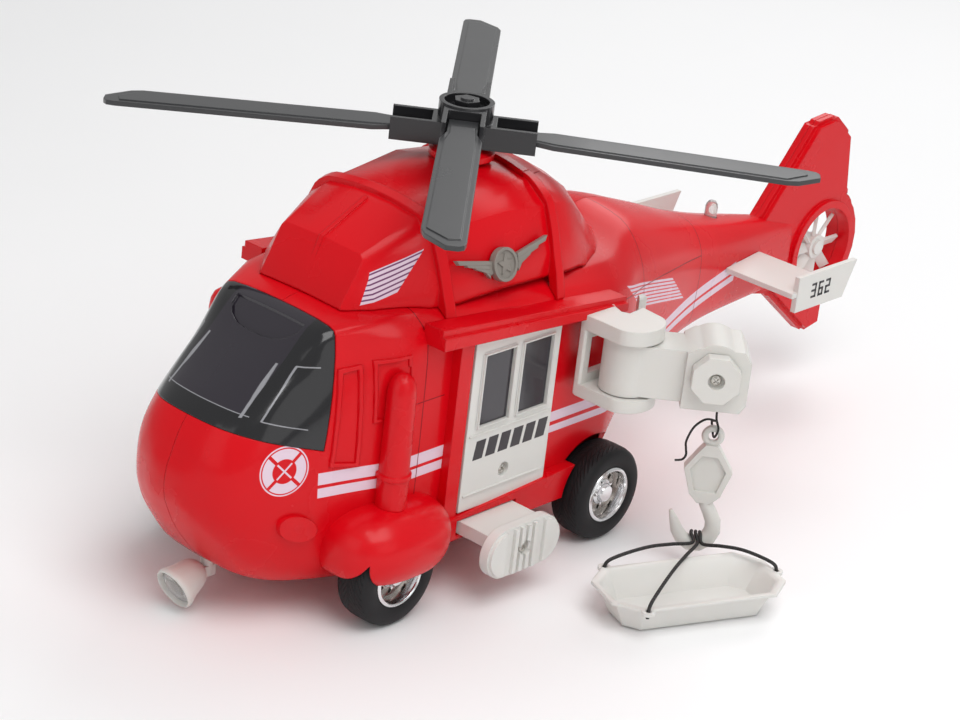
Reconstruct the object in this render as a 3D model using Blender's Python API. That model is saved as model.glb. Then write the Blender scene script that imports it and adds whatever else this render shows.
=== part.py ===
"""Toy rescue helicopter with hinged winch, sliding doors and a friction drive.

Lengths below are millimetres from the rotor mast: X forward, Y to the helicopter's left, Z up
from the floor. The last step moves the origin to the middle of the footprint and scales to metres.
"""
import math

import bmesh
import bpy
from mathutils import Matrix, Vector

MIDDLE_X = -68.0
WALL = 2.0
GAP = 0.3
HALF_WIDTH = 45.5
FRAME_OUT = 50.0
WHEEL_R = 19.6
WHEEL_OUT = 57.0
TYRE_WIDE = 15.0
FRONT_AXLE_X = 73.1
REAR_AXLE_X = -45.4
AXLE_R = 2.0
ROTOR_R = 135.0
ROTOR_TURN = 39.6
MAST_R = 2.6
PIVOT = (-33.0, 66.0)
BOOM_TURN = 132.0
REEL_OUT = 32.5
REEL_Z = 86.0
FAN = (-248.0, 64.4)
FAN_R = 18.0
DOOR_X = (-12.0, 36.0)
DOOR_Z = (32.0, 102.0)
STEP_X = 21.0
STEP_Z = 22.5

for old in list(bpy.data.objects):
    bpy.data.objects.remove(old)

COLOURS = {
    "red": ((0.72, 0.02, 0.02), 0.3, 0.0),
    "white": ((0.82, 0.8, 0.75), 0.4, 0.0),
    "black": ((0.012, 0.012, 0.014), 0.15, 0.0),
    "rubber": ((0.02, 0.02, 0.022), 0.7, 0.0),
    "chrome": ((0.8, 0.8, 0.8), 0.12, 1.0),
    "steel": ((0.6, 0.6, 0.6), 0.3, 1.0),
    "grey": ((0.25, 0.24, 0.22), 0.5, 0.0),
    "clear": ((0.9, 0.9, 0.9), 0.1, 0.0),
    "cord": ((0.015, 0.015, 0.015), 0.8, 0.0),
    "green": ((0.03, 0.2, 0.08), 0.5, 0.0),
}


def material(slot):
    found = bpy.data.materials.get(slot)
    if found:
        return found
    rgb, rough, metal = COLOURS[slot]
    made = bpy.data.materials.new(slot)
    made.use_nodes = True
    shader = made.node_tree.nodes["Principled BSDF"]
    shader.inputs["Base Color"].default_value = (*rgb, 1.0)
    shader.inputs["Roughness"].default_value = rough
    shader.inputs["Metallic"].default_value = metal
    return made


def solid(points, faces):
    mesh = bpy.data.meshes.new("shape")
    mesh.from_pydata([tuple(p) for p in points], [], faces)
    work = bmesh.new()
    work.from_mesh(mesh)
    bmesh.ops.remove_doubles(work, verts=work.verts, dist=1e-4)
    bmesh.ops.recalc_face_normals(work, faces=work.faces)
    work.to_mesh(mesh)
    work.free()
    made = bpy.data.objects.new("shape", mesh)
    bpy.context.scene.collection.objects.link(made)
    return made


def mix(target, tool, operation, keep_tool=False):
    change = target.modifiers.new("mix", "BOOLEAN")
    change.operation = operation
    change.solver = "EXACT"
    change.object = tool
    bpy.context.view_layer.update()
    graph = bpy.context.evaluated_depsgraph_get()
    mesh = bpy.data.meshes.new_from_object(target.evaluated_get(graph))
    target.modifiers.clear()
    target.data = mesh
    if not keep_tool:
        bpy.data.objects.remove(tool)
    return target


def join(target, *tools):
    for tool in tools:
        mix(target, tool, "UNION")
    return target


def cut(target, *tools):
    for tool in tools:
        mix(target, tool, "DIFFERENCE")
    return target


def common(target, tool):
    return mix(target, tool, "INTERSECT")


def copy_of(shape):
    made = bpy.data.objects.new("shape", shape.data.copy())
    bpy.context.scene.collection.objects.link(made)
    return made


def change(shape, matrix):
    shape.data.transform(matrix)
    if matrix.determinant() < 0:
        shape.data.flip_normals()
    return shape


def mirrored(shape):
    return change(copy_of(shape), Matrix.Diagonal((1.0, -1.0, 1.0, 1.0)))


def moved(shape, x=0.0, y=0.0, z=0.0, turn=0.0, tilt=0.0):
    """Tilt about Y, then turn about Z, then shift."""
    spin = Matrix.Rotation(math.radians(turn), 4, "Z") @ Matrix.Rotation(math.radians(tilt), 4, "Y")
    return change(shape, Matrix.Translation((x, y, z)) @ spin)


def bevelled(shape, width, segments=1):
    work = bmesh.new()
    work.from_mesh(shape.data)
    bmesh.ops.bevel(work, geom=work.edges[:], offset=width, segments=segments, affect="EDGES")
    work.to_mesh(shape.data)
    work.free()
    return shape


def box(x0, x1, y0, y1, z0, z1, chamfer=0.0):
    points = [(x, y, z) for x in (x0, x1) for y in (y0, y1) for z in (z0, z1)]
    faces = [(0, 1, 3, 2), (4, 6, 7, 5), (0, 4, 5, 1), (2, 3, 7, 6), (0, 2, 6, 4), (1, 5, 7, 3)]
    made = solid(points, faces)
    if chamfer:
        bevelled(made, chamfer)
    return made


def prism(outline, axis, low, high):
    """A polygon swept along an axis: outline holds (x,z) for Y, (x,y) for Z and (y,z) for X."""
    count = len(outline)
    points = []
    for level in (low, high):
        for a, b in outline:
            points.append({"X": (level, a, b), "Y": (a, level, b), "Z": (a, b, level)}[axis])
    faces = [tuple(range(count)), tuple(range(2 * count - 1, count - 1, -1))]
    for i in range(count):
        j = (i + 1) % count
        faces.append((i, j, j + count, i + count))
    return solid(points, faces)


def loft(rings):
    count = len(rings[0])
    points = [p for ring in rings for p in ring]
    faces = [tuple(range(count)), tuple(range(len(points) - count, len(points)))]
    for k in range(len(rings) - 1):
        for i in range(count):
            j = (i + 1) % count
            a = k * count
            faces.append((a + i, a + j, a + j + count, a + i + count))
    return solid(points, faces)


def frame_of(direction):
    way = Vector(direction).normalized()
    side = way.orthogonal().normalized()
    return way, side, way.cross(side)


def lathe(profile, centre, direction, count, start=0.0):
    """A profile of (radius, height) turned round a line. A profile that starts off the line closes on itself."""
    way, side, third = frame_of(direction)
    base = Vector(centre)
    open_ended = profile[0][0] == 0 and profile[-1][0] == 0
    rings = []
    points = []
    for radius, height in profile:
        ring = []
        for k in range(1 if radius == 0 else count):
            angle = start + 2 * math.pi * k / count
            out = side * math.cos(angle) + third * math.sin(angle)
            ring.append(len(points))
            points.append(base + way * height + out * radius)
        rings.append(ring)
    faces = []
    pairs = list(zip(rings, rings[1:]))
    if not open_ended:
        pairs.append((rings[-1], rings[0]))
    for low, high in pairs:
        for k in range(count):
            m = (k + 1) % count
            if len(low) == 1:
                faces.append((low[0], high[k], high[m]))
            elif len(high) == 1:
                faces.append((low[k], low[m], high[0]))
            else:
                faces.append((low[k], low[m], high[m], high[k]))
    return solid(points, faces)


def rod(start, end, radius, count=16, radius2=None):
    length = (Vector(end) - Vector(start)).length
    far = radius if radius2 is None else radius2
    profile = [(0, 0), (radius, 0), (far, length), (0, length)]
    return lathe(profile, start, Vector(end) - Vector(start), count)


def ring_prism(radius, count, start=0.0, centre=(0.0, 0.0), squash=1.0):
    outline = []
    for k in range(count):
        angle = math.radians(start + 360.0 * k / count)
        outline.append((centre[0] + radius * math.cos(angle), centre[1] + squash * radius * math.sin(angle)))
    return outline


def tube(path, radii, count=8):
    """A round bar along a path, with the same section carried from point to point."""
    way, side, third = frame_of(Vector(path[1]) - Vector(path[0]))
    if not isinstance(radii, (list, tuple)):
        radii = [radii] * len(path)
    rings = []
    for k, here in enumerate(path):
        before = Vector(path[max(k - 1, 0)])
        after = Vector(path[min(k + 1, len(path) - 1)])
        along = (after - before).normalized()
        side = (side - along * side.dot(along)).normalized()
        third = along.cross(side)
        ring = []
        for i in range(count):
            angle = 2 * math.pi * i / count
            ring.append(Vector(here) + (side * math.cos(angle) + third * math.sin(angle)) * radii[k])
        rings.append(ring)
    return loft(rings)


def done(shape, name, slot, pivot=None):
    """Name a finished shape, move it to the shared frame in metres and put its origin on its pivot."""
    shape.name = name
    shape.data.name = name
    shape.data.materials.clear()
    shape.data.materials.append(material(slot))
    at = Vector(pivot) if pivot else Vector((0.0, 0.0, 0.0))
    shift = Matrix.Scale(0.001, 4) @ Matrix.Translation(-at)
    shape.data.transform(shift)
    shape.location = (at - Vector((MIDDLE_X, 0.0, 0.0))) * 0.001
    for face in shape.data.polygons:
        face.use_smooth = False
    return shape


# ---- body sections: (x, half outline from the top middle to the bottom middle) ----
BODY = [
    (141.0, [(0, 63), (6, 62.5), (9, 61), (10.5, 58), (11, 54), (10.5, 50), (9, 47.5), (6, 46.5), (0, 46)]),
    (137.0, [(0, 73), (9, 72), (15, 69), (19, 63), (20, 56), (19.5, 48), (16, 42), (10, 39), (0, 38)]),
    (131.0, [(0, 81.5), (12, 80), (19, 76), (24.5, 68), (26.5, 57), (26, 45), (22, 36), (14, 31), (0, 29.5)]),
    (118.0, [(0, 91.5), (15, 90), (23, 86), (29.5, 76), (32, 61), (32.5, 42), (29, 27), (20, 18.5), (0, 17)]),
    (104.0, [(0, 102), (18, 101), (25.5, 97), (32, 84), (35, 68), (36.5, 44), (34, 24), (26, 15), (0, 13.5)]),
    (91.0, [(0, 112.5), (24, 111.5), (29.5, 107), (35, 91), (38.5, 70), (39.5, 44), (37.5, 22), (29, 13.5), (0, 12.5)]),
    (62.0, [(0, 116), (30, 115), (38, 112.5), (44.5, 105), (45.5, 80), (45.5, 44), (44, 20), (36, 12.5), (0, 12)]),
    (0.0, [(0, 115), (30, 114), (38, 111), (44.5, 103.5), (45.5, 78), (45.5, 44), (44, 20), (36, 12.5), (0, 12)]),
    (-48.0, [(0, 114), (30, 112), (37.5, 108), (44, 100), (45.5, 78), (45.5, 48), (44, 24), (36, 15), (0, 14)]),
    (-60.0, [(0, 116), (26, 113), (35, 108), (41.5, 99), (43, 80), (42.5, 54), (40.5, 38), (33, 31), (0, 29)]),
    (-78.0, [(0, 120), (19, 117), (28, 110), (34, 99), (36, 84), (35, 62), (33, 46), (27, 38), (0, 35)]),
    (-105.0, [(0, 113), (13, 111), (21, 105), (26, 96), (27.5, 84), (27, 68), (25, 54), (20, 47), (0, 44)]),
    (-138.0, [(0, 102), (9, 100.5), (14, 96.5), (17.5, 90), (18.5, 81), (18, 69), (17, 59), (13, 53), (0, 51)]),
    (-165.0, [(0, 95), (7, 94), (10.5, 91), (13, 86), (14, 78), (13.5, 68), (12.5, 60), (10, 54.5), (0, 53)]),
    (-200.0, [(0, 88), (4, 87.5), (6.5, 85.5), (8, 82), (8.5, 75), (8.5, 66), (8, 58), (6, 54), (0, 53)]),
    (-222.0, [(0, 83), (3, 82.5), (4.5, 81), (5.2, 78), (5.6, 72), (5.6, 64), (5.2, 57), (4, 54), (0, 53)]),
]


def body_solid(grow):
    """The outside of the body made larger by grow, or smaller where it is negative."""
    rings = []
    for x, half in BODY:
        wide = max(y for y, z in half)
        top = half[0][1]
        low = half[-1][1]
        middle = (top + low) / 2
        tall = (top - low) / 2
        ring = []
        for y, z in half:
            ring.append((y * (wide + grow) / wide, middle + (z - middle) * (tall + grow) / tall))
        full = [(y, z) for y, z in ring] + [(-y, z) for y, z in ring[-2:0:-1]]
        rings.append([(x * (1 + grow / 141.0), y, z) for y, z in full])
    return loft(rings)


FIN = [(-196, 86), (-199.5, 87.6), (-232, 126), (-247, 127.5), (-260, 117), (-264.5, 88)]
for step in range(9):
    bend = math.radians(130 + 15 * step)
    FIN.append((FAN[0] + 29 * math.cos(bend), FAN[1] + 29 * math.sin(bend)))
FIN += [(-258, 25), (-247, 23), (-214, 49), (-196, 53)]

outer = body_solid(0.0)
join(outer, prism(FIN, "Y", -4.6, 4.6))
cut(outer, rod((FAN[0], -10, FAN[1]), (FAN[0], 10, FAN[1]), FAN_R + 1.6, 32))
inner = body_solid(-WALL)
cut(inner, box(-240, -196, -20, 20, 20, 120))
shell = cut(outer, inner)
for axle_x in (FRONT_AXLE_X, REAR_AXLE_X):
    for side in (-1, 1):
        low, high = sorted((side * 40.2, side * 62.0))
        cut(shell, rod((axle_x, low, WHEEL_R), (axle_x, high, WHEEL_R), WHEEL_R + 2.2, 24))
    cut(shell, rod((axle_x, -60, WHEEL_R), (axle_x, 60, WHEEL_R), AXLE_R + 0.6, 12))
cut(shell, box(-50, 60, -27, 27, 105, 125))
cut(shell, box(-8, 32, -60, 60, 38, 95))
cut(shell, box(STEP_X - 16.5, STEP_X + 16.5, -60, 60, 23.5, 29.7))
cut(shell, rod((116, 0, 5), (116, 0, 30), 3.0, 12))
cut(shell, box(-58.4, -19.6, -15.4, 15.4, 5, 24))

# ---- windshield ----
VISOR = [(84.5, 130), (90.3, 107), (98.0, 69.5), (133.5, 79.5), (152, 84.7), (152, 130)]
windshield = common(copy_of(shell), prism([(x + 0.25, z + 0.25) for x, z in VISOR], "Y", -60, 60))
cut(shell, prism([(x - 0.05, z - 0.05) for x, z in VISOR], "Y", -60, 60))
done(windshield, "windshield", "black")

# ---- roof fairing and dome ----
ROOF = [
    (80.3, [(21.5, 108), (21.5, 113.5), (20.5, 115), (14, 115.8), (7, 116.2), (0, 116.6)]),
    (71.0, [(30, 108), (28, 119), (21, 131.5), (19.4, 133.2), (8, 133.6), (0, 133.8)]),
    (50.0, [(37.5, 108), (36, 120), (28, 138), (22, 142.5), (9, 144.2), (0, 144.6)]),
    (37.0, [(39, 108), (38, 122), (31, 140), (23, 145), (10, 147), (0, 147.3)]),
    (10.0, [(40, 106), (39, 124), (33, 142), (24, 148.5), (10, 151.5), (0, 152)]),
    (-25.0, [(39, 106), (38, 122), (32, 139), (22, 146), (9, 149), (0, 149.5)]),
    (-40.0, [(36, 106), (34, 118), (28, 131), (19, 138), (8, 141), (0, 141.5)]),
    (-52.0, [(31, 106), (29, 114), (23, 122), (15, 127), (7, 129.5), (0, 130)]),
    (-62.0, [(24, 106), (22, 112), (18, 116), (12, 119), (6, 120.5), (0, 121)]),
]


def roof_rings(table, shrink):
    rings = []
    for x, half in table:
        pick = []
        for y, z in half:
            wide = max(half[0][0] - shrink, 4.0) / half[0][0]
            tall = z if z <= 108 else 108 + (z - 108) * max(half[-1][1] - 108 - shrink, 0.5) / (half[-1][1] - 108)
            pick.append((y * wide, tall))
        pick = [(pick[0][0], 100.0)] + pick[1:]
        full = pick + [(-y, z) for y, z in pick[-2::-1]]
        rings.append([(x, y, z) for y, z in full])
    return rings


def between(table, x):
    for (xa, a), (xb, b) in zip(table, table[1:]):
        if xb <= x <= xa:
            t = (xa - x) / (xa - xb)
            return [(p[0] + (q[0] - p[0]) * t, p[1] + (q[1] - p[1]) * t) for p, q in zip(a, b)]
    return table[0][1]


roof = loft(roof_rings(ROOF, 0.0))
for rib_x in (44.0, -15.0):
    rib = [(rib_x + 2.2, between(ROOF, rib_x + 2.2)), (rib_x - 2.2, between(ROOF, rib_x - 2.2))]
    join(roof, loft(roof_rings(rib, -1.6)))
hollow = loft(roof_rings([(76.0, ROOF[0][1])] + ROOF[1:-1] + [(-58.0, between(ROOF, -58.0))], 2.2))
cut(roof, hollow)
cut(roof, body_solid(GAP))
cut(roof, rod((0, 0, 100), (0, 0, 170), MAST_R + 0.5, 16))
COVER = [(-13, -20), (-49, -15), (-49, 15), (-13, 20)]
cover = common(copy_of(roof), prism(COVER, "Z", 118, 170))
cut(roof, prism([(-12.7, -20.3), (-49.3, -15.3), (-49.3, 15.3), (-12.7, 20.3)], "Z", 118, 170))
done(roof, "roof_fairing", "red")
done(cover, "battery_cover", "red")
collar = lathe([(3.2, 151.9), (12.5, 151.9), (12.5, 154.2), (9, 156), (3.2, 156)], (0, 0, 0.5), (0, 0, 1), 32)
done(collar, "mast_collar", "red")

# ---- nose pods over the front wheels, exhausts, side frames ----
POD = [
    (107.0, 36.0, 43.0, 25.0, 33.0),
    (101.0, 34.0, 53.5, 22.0, 39.0),
    (92.0, 34.0, 58.5, 21.0, 42.5),
    (58.0, 34.0, 59.3, 21.0, 42.0),
    (51.0, 34.0, 55.0, 22.0, 38.0),
    (48.0, 34.0, 47.5, 25.0, 33.0),
]


def pod():
    rings = []
    for x, inside, out, low, high in POD:
        soft = min(5.0, (high - low) * 0.4)
        outline = [(inside, low), (out - 1, low), (out, low + 1.5), (out, high - soft)]
        outline += [(out - soft * 0.35, high - soft * 0.35), (out - soft * 1.2, high), (inside, high)]
        rings.append([(x, y, z) for y, z in outline])
    made = loft(rings)
    cut(made, rod((FRONT_AXLE_X, 20, WHEEL_R), (FRONT_AXLE_X, WHEEL_OUT + 0.7, WHEEL_R), WHEEL_R + 1.6, 28))
    cut(made, body_solid(GAP))
    return cut(made, box(40, 110, 20, 60, 0, 20.9))


def exhaust():
    axis = (72.0, 47.2)
    bar = [(0, 41.5), (3.6, 41.5), (5.3, 43.5), (5.3, 56), (6.3, 57), (6.3, 59), (5.3, 60), (5.3, 91)]
    made = lathe(bar + [(4.2, 95.2), (1.8, 97.2), (0, 97.6)], (*axis, 0), (0, 0, 1), 20)
    return cut(made, body_solid(GAP), copy_of(pod_left))


def side_frame():
    edge = [(61, 112.5), (-46, 102.5), (-46, 48), (-34, 22), (47.3, 22), (61, 42)]
    hole = [(44, 104.2), (-38, 97.2), (-38, 45), (-32, 31), (44, 31)]
    made = prism(edge, "Y", HALF_WIDTH + GAP, FRAME_OUT)
    cut(made, prism(hole, "Y", 40, 60))
    cut(made, rod((REAR_AXLE_X, 40, WHEEL_R), (REAR_AXLE_X, 60, WHEEL_R), WHEEL_R + 2.2, 24))
    slot = box(STEP_X - 16.5, STEP_X + 16.5, 40, 60, 23.5, 29.7)
    return cut(made, slot)


pod_left = pod()
exhaust_left = exhaust()
frame_left = side_frame()
cut(frame_left, copy_of(pod_left), rod((72, 47.2, 30), (72, 47.2, 100), 6.8, 20))
pods = {"left": pod_left, "right": mirrored(pod_left)}
pipes = {"left": exhaust_left, "right": mirrored(exhaust_left)}
frames = {"left": frame_left, "right": mirrored(frame_left)}
for name in ("left", "right"):
    done(pods[name], "wheel_pod_" + name, "red")
    done(pipes[name], "exhaust_" + name, "red")
    done(frames[name], "side_frame_" + name, "red")


# ---- doors, panes, badges, steps ----
def door():
    low, high = DOOR_Z
    outline = [(DOOR_X[0], low), (DOOR_X[1], low), (DOOR_X[1], high), (DOOR_X[0], high - 4.0)]
    made = prism(outline, "Y", 46.7, 49.0)
    for start in (-7.5, 14.0):
        cut(made, box(start, start + 16.5, 40, 60, 66, 95))
    ridge = box(DOOR_X[0] + 2, DOOR_X[1] - 2, 48.7, 49.5, 37.0, 38.0)
    return join(made, ridge)


def panes():
    """Two panes on one strip that passes behind the post between them."""
    made = box(-7.2, 30.2, 45.8, 46.4, 66.3, 94.7)
    for start in (-7.2, 14.3):
        join(made, box(start, start + 15.9, 46.2, 48.4, 66.3, 94.7))
    return made


def badge():
    plate = prism(ring_prism(6.6, 20, 0, (16.0, 124.5)), "Y", 0, 2.2)
    for side in (-1, 1):
        wing = []
        for a, b in ((5, -2.5), (9, -4.5), (19, 0.5), (26, 5.5), (24, 6.5), (7, 3.0)):
            wing.append((16.0 + side * a, 124.5 + b))
        join(plate, prism(wing, "Y", 0, 1.8))
    lean = Matrix.Rotation(math.radians(17), 4, "X")
    shift = Matrix.Translation((0, 39.7, 124.5))
    back = Matrix.Translation((0, 0, -124.5))
    return change(plate, shift @ lean @ back)


def step():
    pad = []
    for k in range(9):
        bend = math.radians(-90 + 22.5 * k)
        pad.append((STEP_X + 10 + 10 * math.cos(bend), STEP_Z + 10 * math.sin(bend)))
    for k in range(9):
        bend = math.radians(90 + 22.5 * k)
        pad.append((STEP_X - 10 + 10 * math.cos(bend), STEP_Z + 10 * math.sin(bend)))
    made = prism(pad, "Y", 66.0, 71.0)
    join(made, box(STEP_X - 15, STEP_X + 15, 42.0, 67, 24.0, 29.2))
    for k in (-13.5, -10.5, 10.5, 13.5):
        join(made, box(STEP_X + k - 0.7, STEP_X + k + 0.7, 70.5, 71.7, 15.5, 29.5))
    return cut(made, rod((STEP_X, 69, STEP_Z), (STEP_X, 75, STEP_Z), 3.3, 16))


def screw_head(centre, direction, radius=2.1):
    made = lathe([(0, 0), (radius, 0), (radius, 0.9), (radius * 0.7, 1.3), (0, 1.3)], centre, direction, 14)
    return made


door_left = door()
doors = {"left": door_left, "right": mirrored(door_left)}
pane_left = panes()
pane_parts = {"left": pane_left, "right": mirrored(pane_left)}
badge_left = badge()
badges = {"left": badge_left, "right": mirrored(badge_left)}
step_left = step()
steps = {"left": step_left, "right": mirrored(step_left)}
for side in ("left", "right"):
    sign = 1 if side == "left" else -1
    done(doors[side], "door_" + side, "white")
    done(badges[side], "badge_" + side, "grey")
    done(steps[side], "step_" + side, "white")
    done(pane_parts[side], "door_panes_" + side, "black")


# ---- winch: bracket on the left side, boom on a vertical pin, reel across the boom ----
px, py = PIVOT


def bracket():
    made = box(px - 24, px + 12, FRAME_OUT + GAP, 53.6, 67, 101, 0.6)
    cut(made, box(px - 9, px + 9, 40, 60, 78, 90))
    for low, high in ((68.5, 72.3), (94.7, 99.0)):
        cheek = [(px - 12, 52), (px + 12, 52), (px + 12, py - 4)]
        for k in range(9):
            bend = math.radians(22.5 * k)
            cheek.append((px + 12 * math.cos(bend), py + 2 + 10 * math.sin(bend)))
        join(made, prism(cheek, "Z", low, high))
    return cut(made, rod((px, py, 60), (px, py, 110), 2.9, 16))


def boom():
    made = prism(ring_prism(10, 20), "Z", 72.8, 94.2)
    join(made, box(0, 26, -9, 9, 73.2, 93.8))
    head = [(21, 71.5), (43.5, 71.5), (45.6, 75), (45.6, 92), (42.6, 96.5), (25, 96.5), (21, 93.8)]
    join(made, prism(head, "Y", -11.5, 11.5))
    cut(made, box(26.0, 39.5, -8.5, 8.5, 60, 93.5))
    cut(made, rod((REEL_OUT, -20, REEL_Z), (REEL_OUT, 20, REEL_Z), 2.7, 16))
    return cut(made, rod((0, 0, 60), (0, 0, 110), 2.9, 16))


def knob(side):
    out = ring_prism(9.6, 8, 22.5, (REEL_OUT, REEL_Z))
    low, high = sorted((side * 11.9, side * 16.8))
    made = prism(out, "Y", low, high)
    if side > 0:
        cut(made, prism(ring_prism(7.6, 8, 22.5, (REEL_OUT, REEL_Z)), "Y", 13.6, 20))
        spoke = box(REEL_OUT - 8.2, REEL_OUT + 8.2, 13.4, 16.6, REEL_Z - 0.6, REEL_Z + 0.6)
        join(made, spoke, rod((REEL_OUT, 13.4, REEL_Z), (REEL_OUT, 16.6, REEL_Z), 2.6, 12))
    else:
        cut(made, rod((REEL_OUT, -14.6, REEL_Z), (REEL_OUT, -20, REEL_Z), 3.3, 16))
    return made


def drum():
    profile = [(0, -11.6), (2.3, -11.6), (2.3, -7.8), (5.6, -7.8), (5.6, -6.6), (3.4, -6.6)]
    profile += [(3.4, 6.6), (5.6, 6.6), (5.6, 7.8), (2.3, 7.8), (2.3, 11.6), (0, 11.6)]
    return lathe(profile, (REEL_OUT, 0, REEL_Z), (0, 1, 0), 18)


def on_boom(shape):
    return moved(shape, px, py, 0.0, turn=BOOM_TURN)


turn = math.radians(BOOM_TURN)
reel_at = (px + REEL_OUT * math.cos(turn), py + REEL_OUT * math.sin(turn), REEL_Z)
done(bracket(), "winch_bracket", "white")
done(rod((px, py, 69.2), (px, py, 98.6), 2.5, 16), "winch_pin", "steel", (px, py, 84))
done(on_boom(boom()), "winch_boom", "white", (px, py, 84))
done(on_boom(drum()), "winch_drum", "white", reel_at)
done(on_boom(knob(-1)), "winch_knob_front", "white", reel_at)
done(on_boom(knob(1)), "winch_knob_rear", "white", reel_at)
head = screw_head((REEL_OUT, -14.9, REEL_Z), (0, -1, 0))
done(on_boom(head), "winch_screw", "steel", reel_at)

# ---- hoist string, hook, stretcher and its sling ----
hang_x = reel_at[0] + 4.2 * math.cos(turn)
hang_y = reel_at[1] + 4.2 * math.sin(turn)
EYE_Z = 56.5
HOOK_TURN = 128.0
string = tube([(hang_x, hang_y, 79.0), (hang_x, hang_y, 69.0), (hang_x, hang_y, EYE_Z + 4.8)], 0.45, 6)
done(string, "hoist_string", "cord", (hang_x, hang_y, EYE_Z))


def hook():
    """Drawn in its own X-Z plane with the eye at the origin."""
    eye = lathe([(1.7, -1.4), (4.4, -1.4), (4.4, 1.4), (1.7, 1.4)], (0, 0, 0), (0, 1, 0), 18)
    plate = [(-2.2, -3.2), (2.2, -3.2), (4.6, -6.5), (9.4, -14), (6, -24.5), (2.6, -28), (-2.6, -28), (-6, -24.5)]
    plate += [(-9.4, -14), (-4.6, -6.5)]
    made = prism(plate, "Y", -3.0, 3.0)
    for low, high in ((2.0, 4.0), (-4.0, -2.0)):
        pocket = [(-3.4, -8.4), (3.4, -8.4), (6.9, -14), (4.2, -23), (-4.2, -23), (-6.9, -14)]
        cut(made, prism(pocket, "Y", low, high))
    join(made, eye)
    path = [(0.3, 0, -26), (1.6, 0, -30.5), (4.2, 0, -34.5), (5.2, 0, -39), (3.6, 0, -43.6), (0, 0, -46.4)]
    path += [(-4.6, 0, -46.4), (-8.2, 0, -43), (-9.8, 0, -38), (-11.6, 0, -33.8)]
    join(made, tube(path, [2.4, 2.6, 2.9, 3.1, 3.3, 3.4, 3.1, 2.6, 1.8, 0.7], 8))
    return made


hook_shape = moved(hook(), hang_x, hang_y, EYE_Z, turn=HOOK_TURN)
done(hook_shape, "hook", "white", (hang_x, hang_y, EYE_Z))

BASKET_TURN = 157.0
basket_at = (reel_at[0] + 38 * math.cos(math.radians(40)), reel_at[1] + 38 * math.sin(math.radians(40)))


def tray_outline(length, width, corner):
    a, b = length / 2, width / 2
    return [(-a + corner, -b), (a - corner, -b), (a, -b + corner), (a, b - corner), (a - corner, b),
            (-a + corner, b), (-a, b - corner), (-a, -b + corner)]


def basket():
    sizes = [(60, 22, 5, 0.8), (70, 30, 8, 11.2), (75, 35, 9, 11.2), (75, 35, 9, 12.8), (69.5, 29.5, 8, 12.8)]
    sizes += [(57, 19.5, 5, 2.6)]
    rings = [[(x, y, z) for x, y in tray_outline(a, b, c)] for a, b, c, z in sizes]
    made = loft(rings)
    for side in (-1, 1):
        low, high = sorted((side * 6.0, side * 9.5))
        join(made, box(-24, 24, low, high, 0.1, 1.6))
    for x, y in EARS:
        ear = prism(ring_prism(2.6, 10, 0, (x, y)), "Z", 11.4, 12.7)
        join(made, ear)
        cut(made, rod((x, y, 8), (x, y, 15), 1.15, 8))
    return made


EARS = [(-27.0, 18.0), (-27.0, -18.0), (38.2, 0.0)]
basket_shape = moved(basket(), basket_at[0], basket_at[1], 0.0, turn=BASKET_TURN)
done(basket_shape, "basket", "white", (basket_at[0], basket_at[1], 0))

bt = math.radians(BASKET_TURN)
for number, (x, y) in enumerate(EARS):
    ex = basket_at[0] + x * math.cos(bt) - y * math.sin(bt)
    ey = basket_at[1] + x * math.sin(bt) + y * math.cos(bt)
    across = math.radians(HOOK_TURN)
    ahead = Vector((math.sin(across), -math.cos(across), 0.0)) * 5.6
    beside = Vector((math.cos(across), math.sin(across), 0.0)) * 2.2 * (number - 1)
    start = Vector((hang_x, hang_y, 13.2)) + ahead + beside
    end = Vector((ex, ey, 13.9))
    path = []
    for k in range(7):
        t = k / 6
        here = start.lerp(end, t)
        here.z += 4.0 * math.sin(math.pi * t)
        path.append(here)
    done(tube(path, 0.7, 6), "sling_cord_" + str(number + 1), "cord", tuple(start))


# ---- wheels, axles, friction drive ----
def tyre():
    half = TYRE_WIDE / 2
    profile = [(12.2, -half + 1), (15.5, -half), (18.4, -half + 0.8), (19.5, -half + 3), (19.6, 0)]
    profile += [(19.5, half - 3), (18.4, half - 0.8), (15.5, half), (12.2, half - 1)]
    return lathe(profile, (0, 0, 0), (0, 1, 0), 28)


def rim():
    half = TYRE_WIDE / 2
    profile = [(2.25, -5.0), (5.0, -5.0), (5.0, 0.6), (9.2, 0.6), (9.2, -5.4), (11.9, -5.4), (11.9, half - 0.3)]
    profile += [(10.4, half + 0.2), (9.3, half - 0.6), (8.0, 3.2), (4.6, 3.0), (4.0, half - 1.4)]
    profile += [(0, half - 0.8)]
    way = [(0, 2.0), (2.25, 2.0)] + profile
    made = lathe(way, (0, 0, 0), (0, 1, 0), 24)
    for k in range(6):
        a = math.radians(60 * k + 30)
        at = (6.35 * math.cos(a), 6.35 * math.sin(a))
        cut(made, rod((at[0], -7.7, at[1]), (at[0], 4.9, at[1]), 1.15, 7))
    return made


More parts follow.
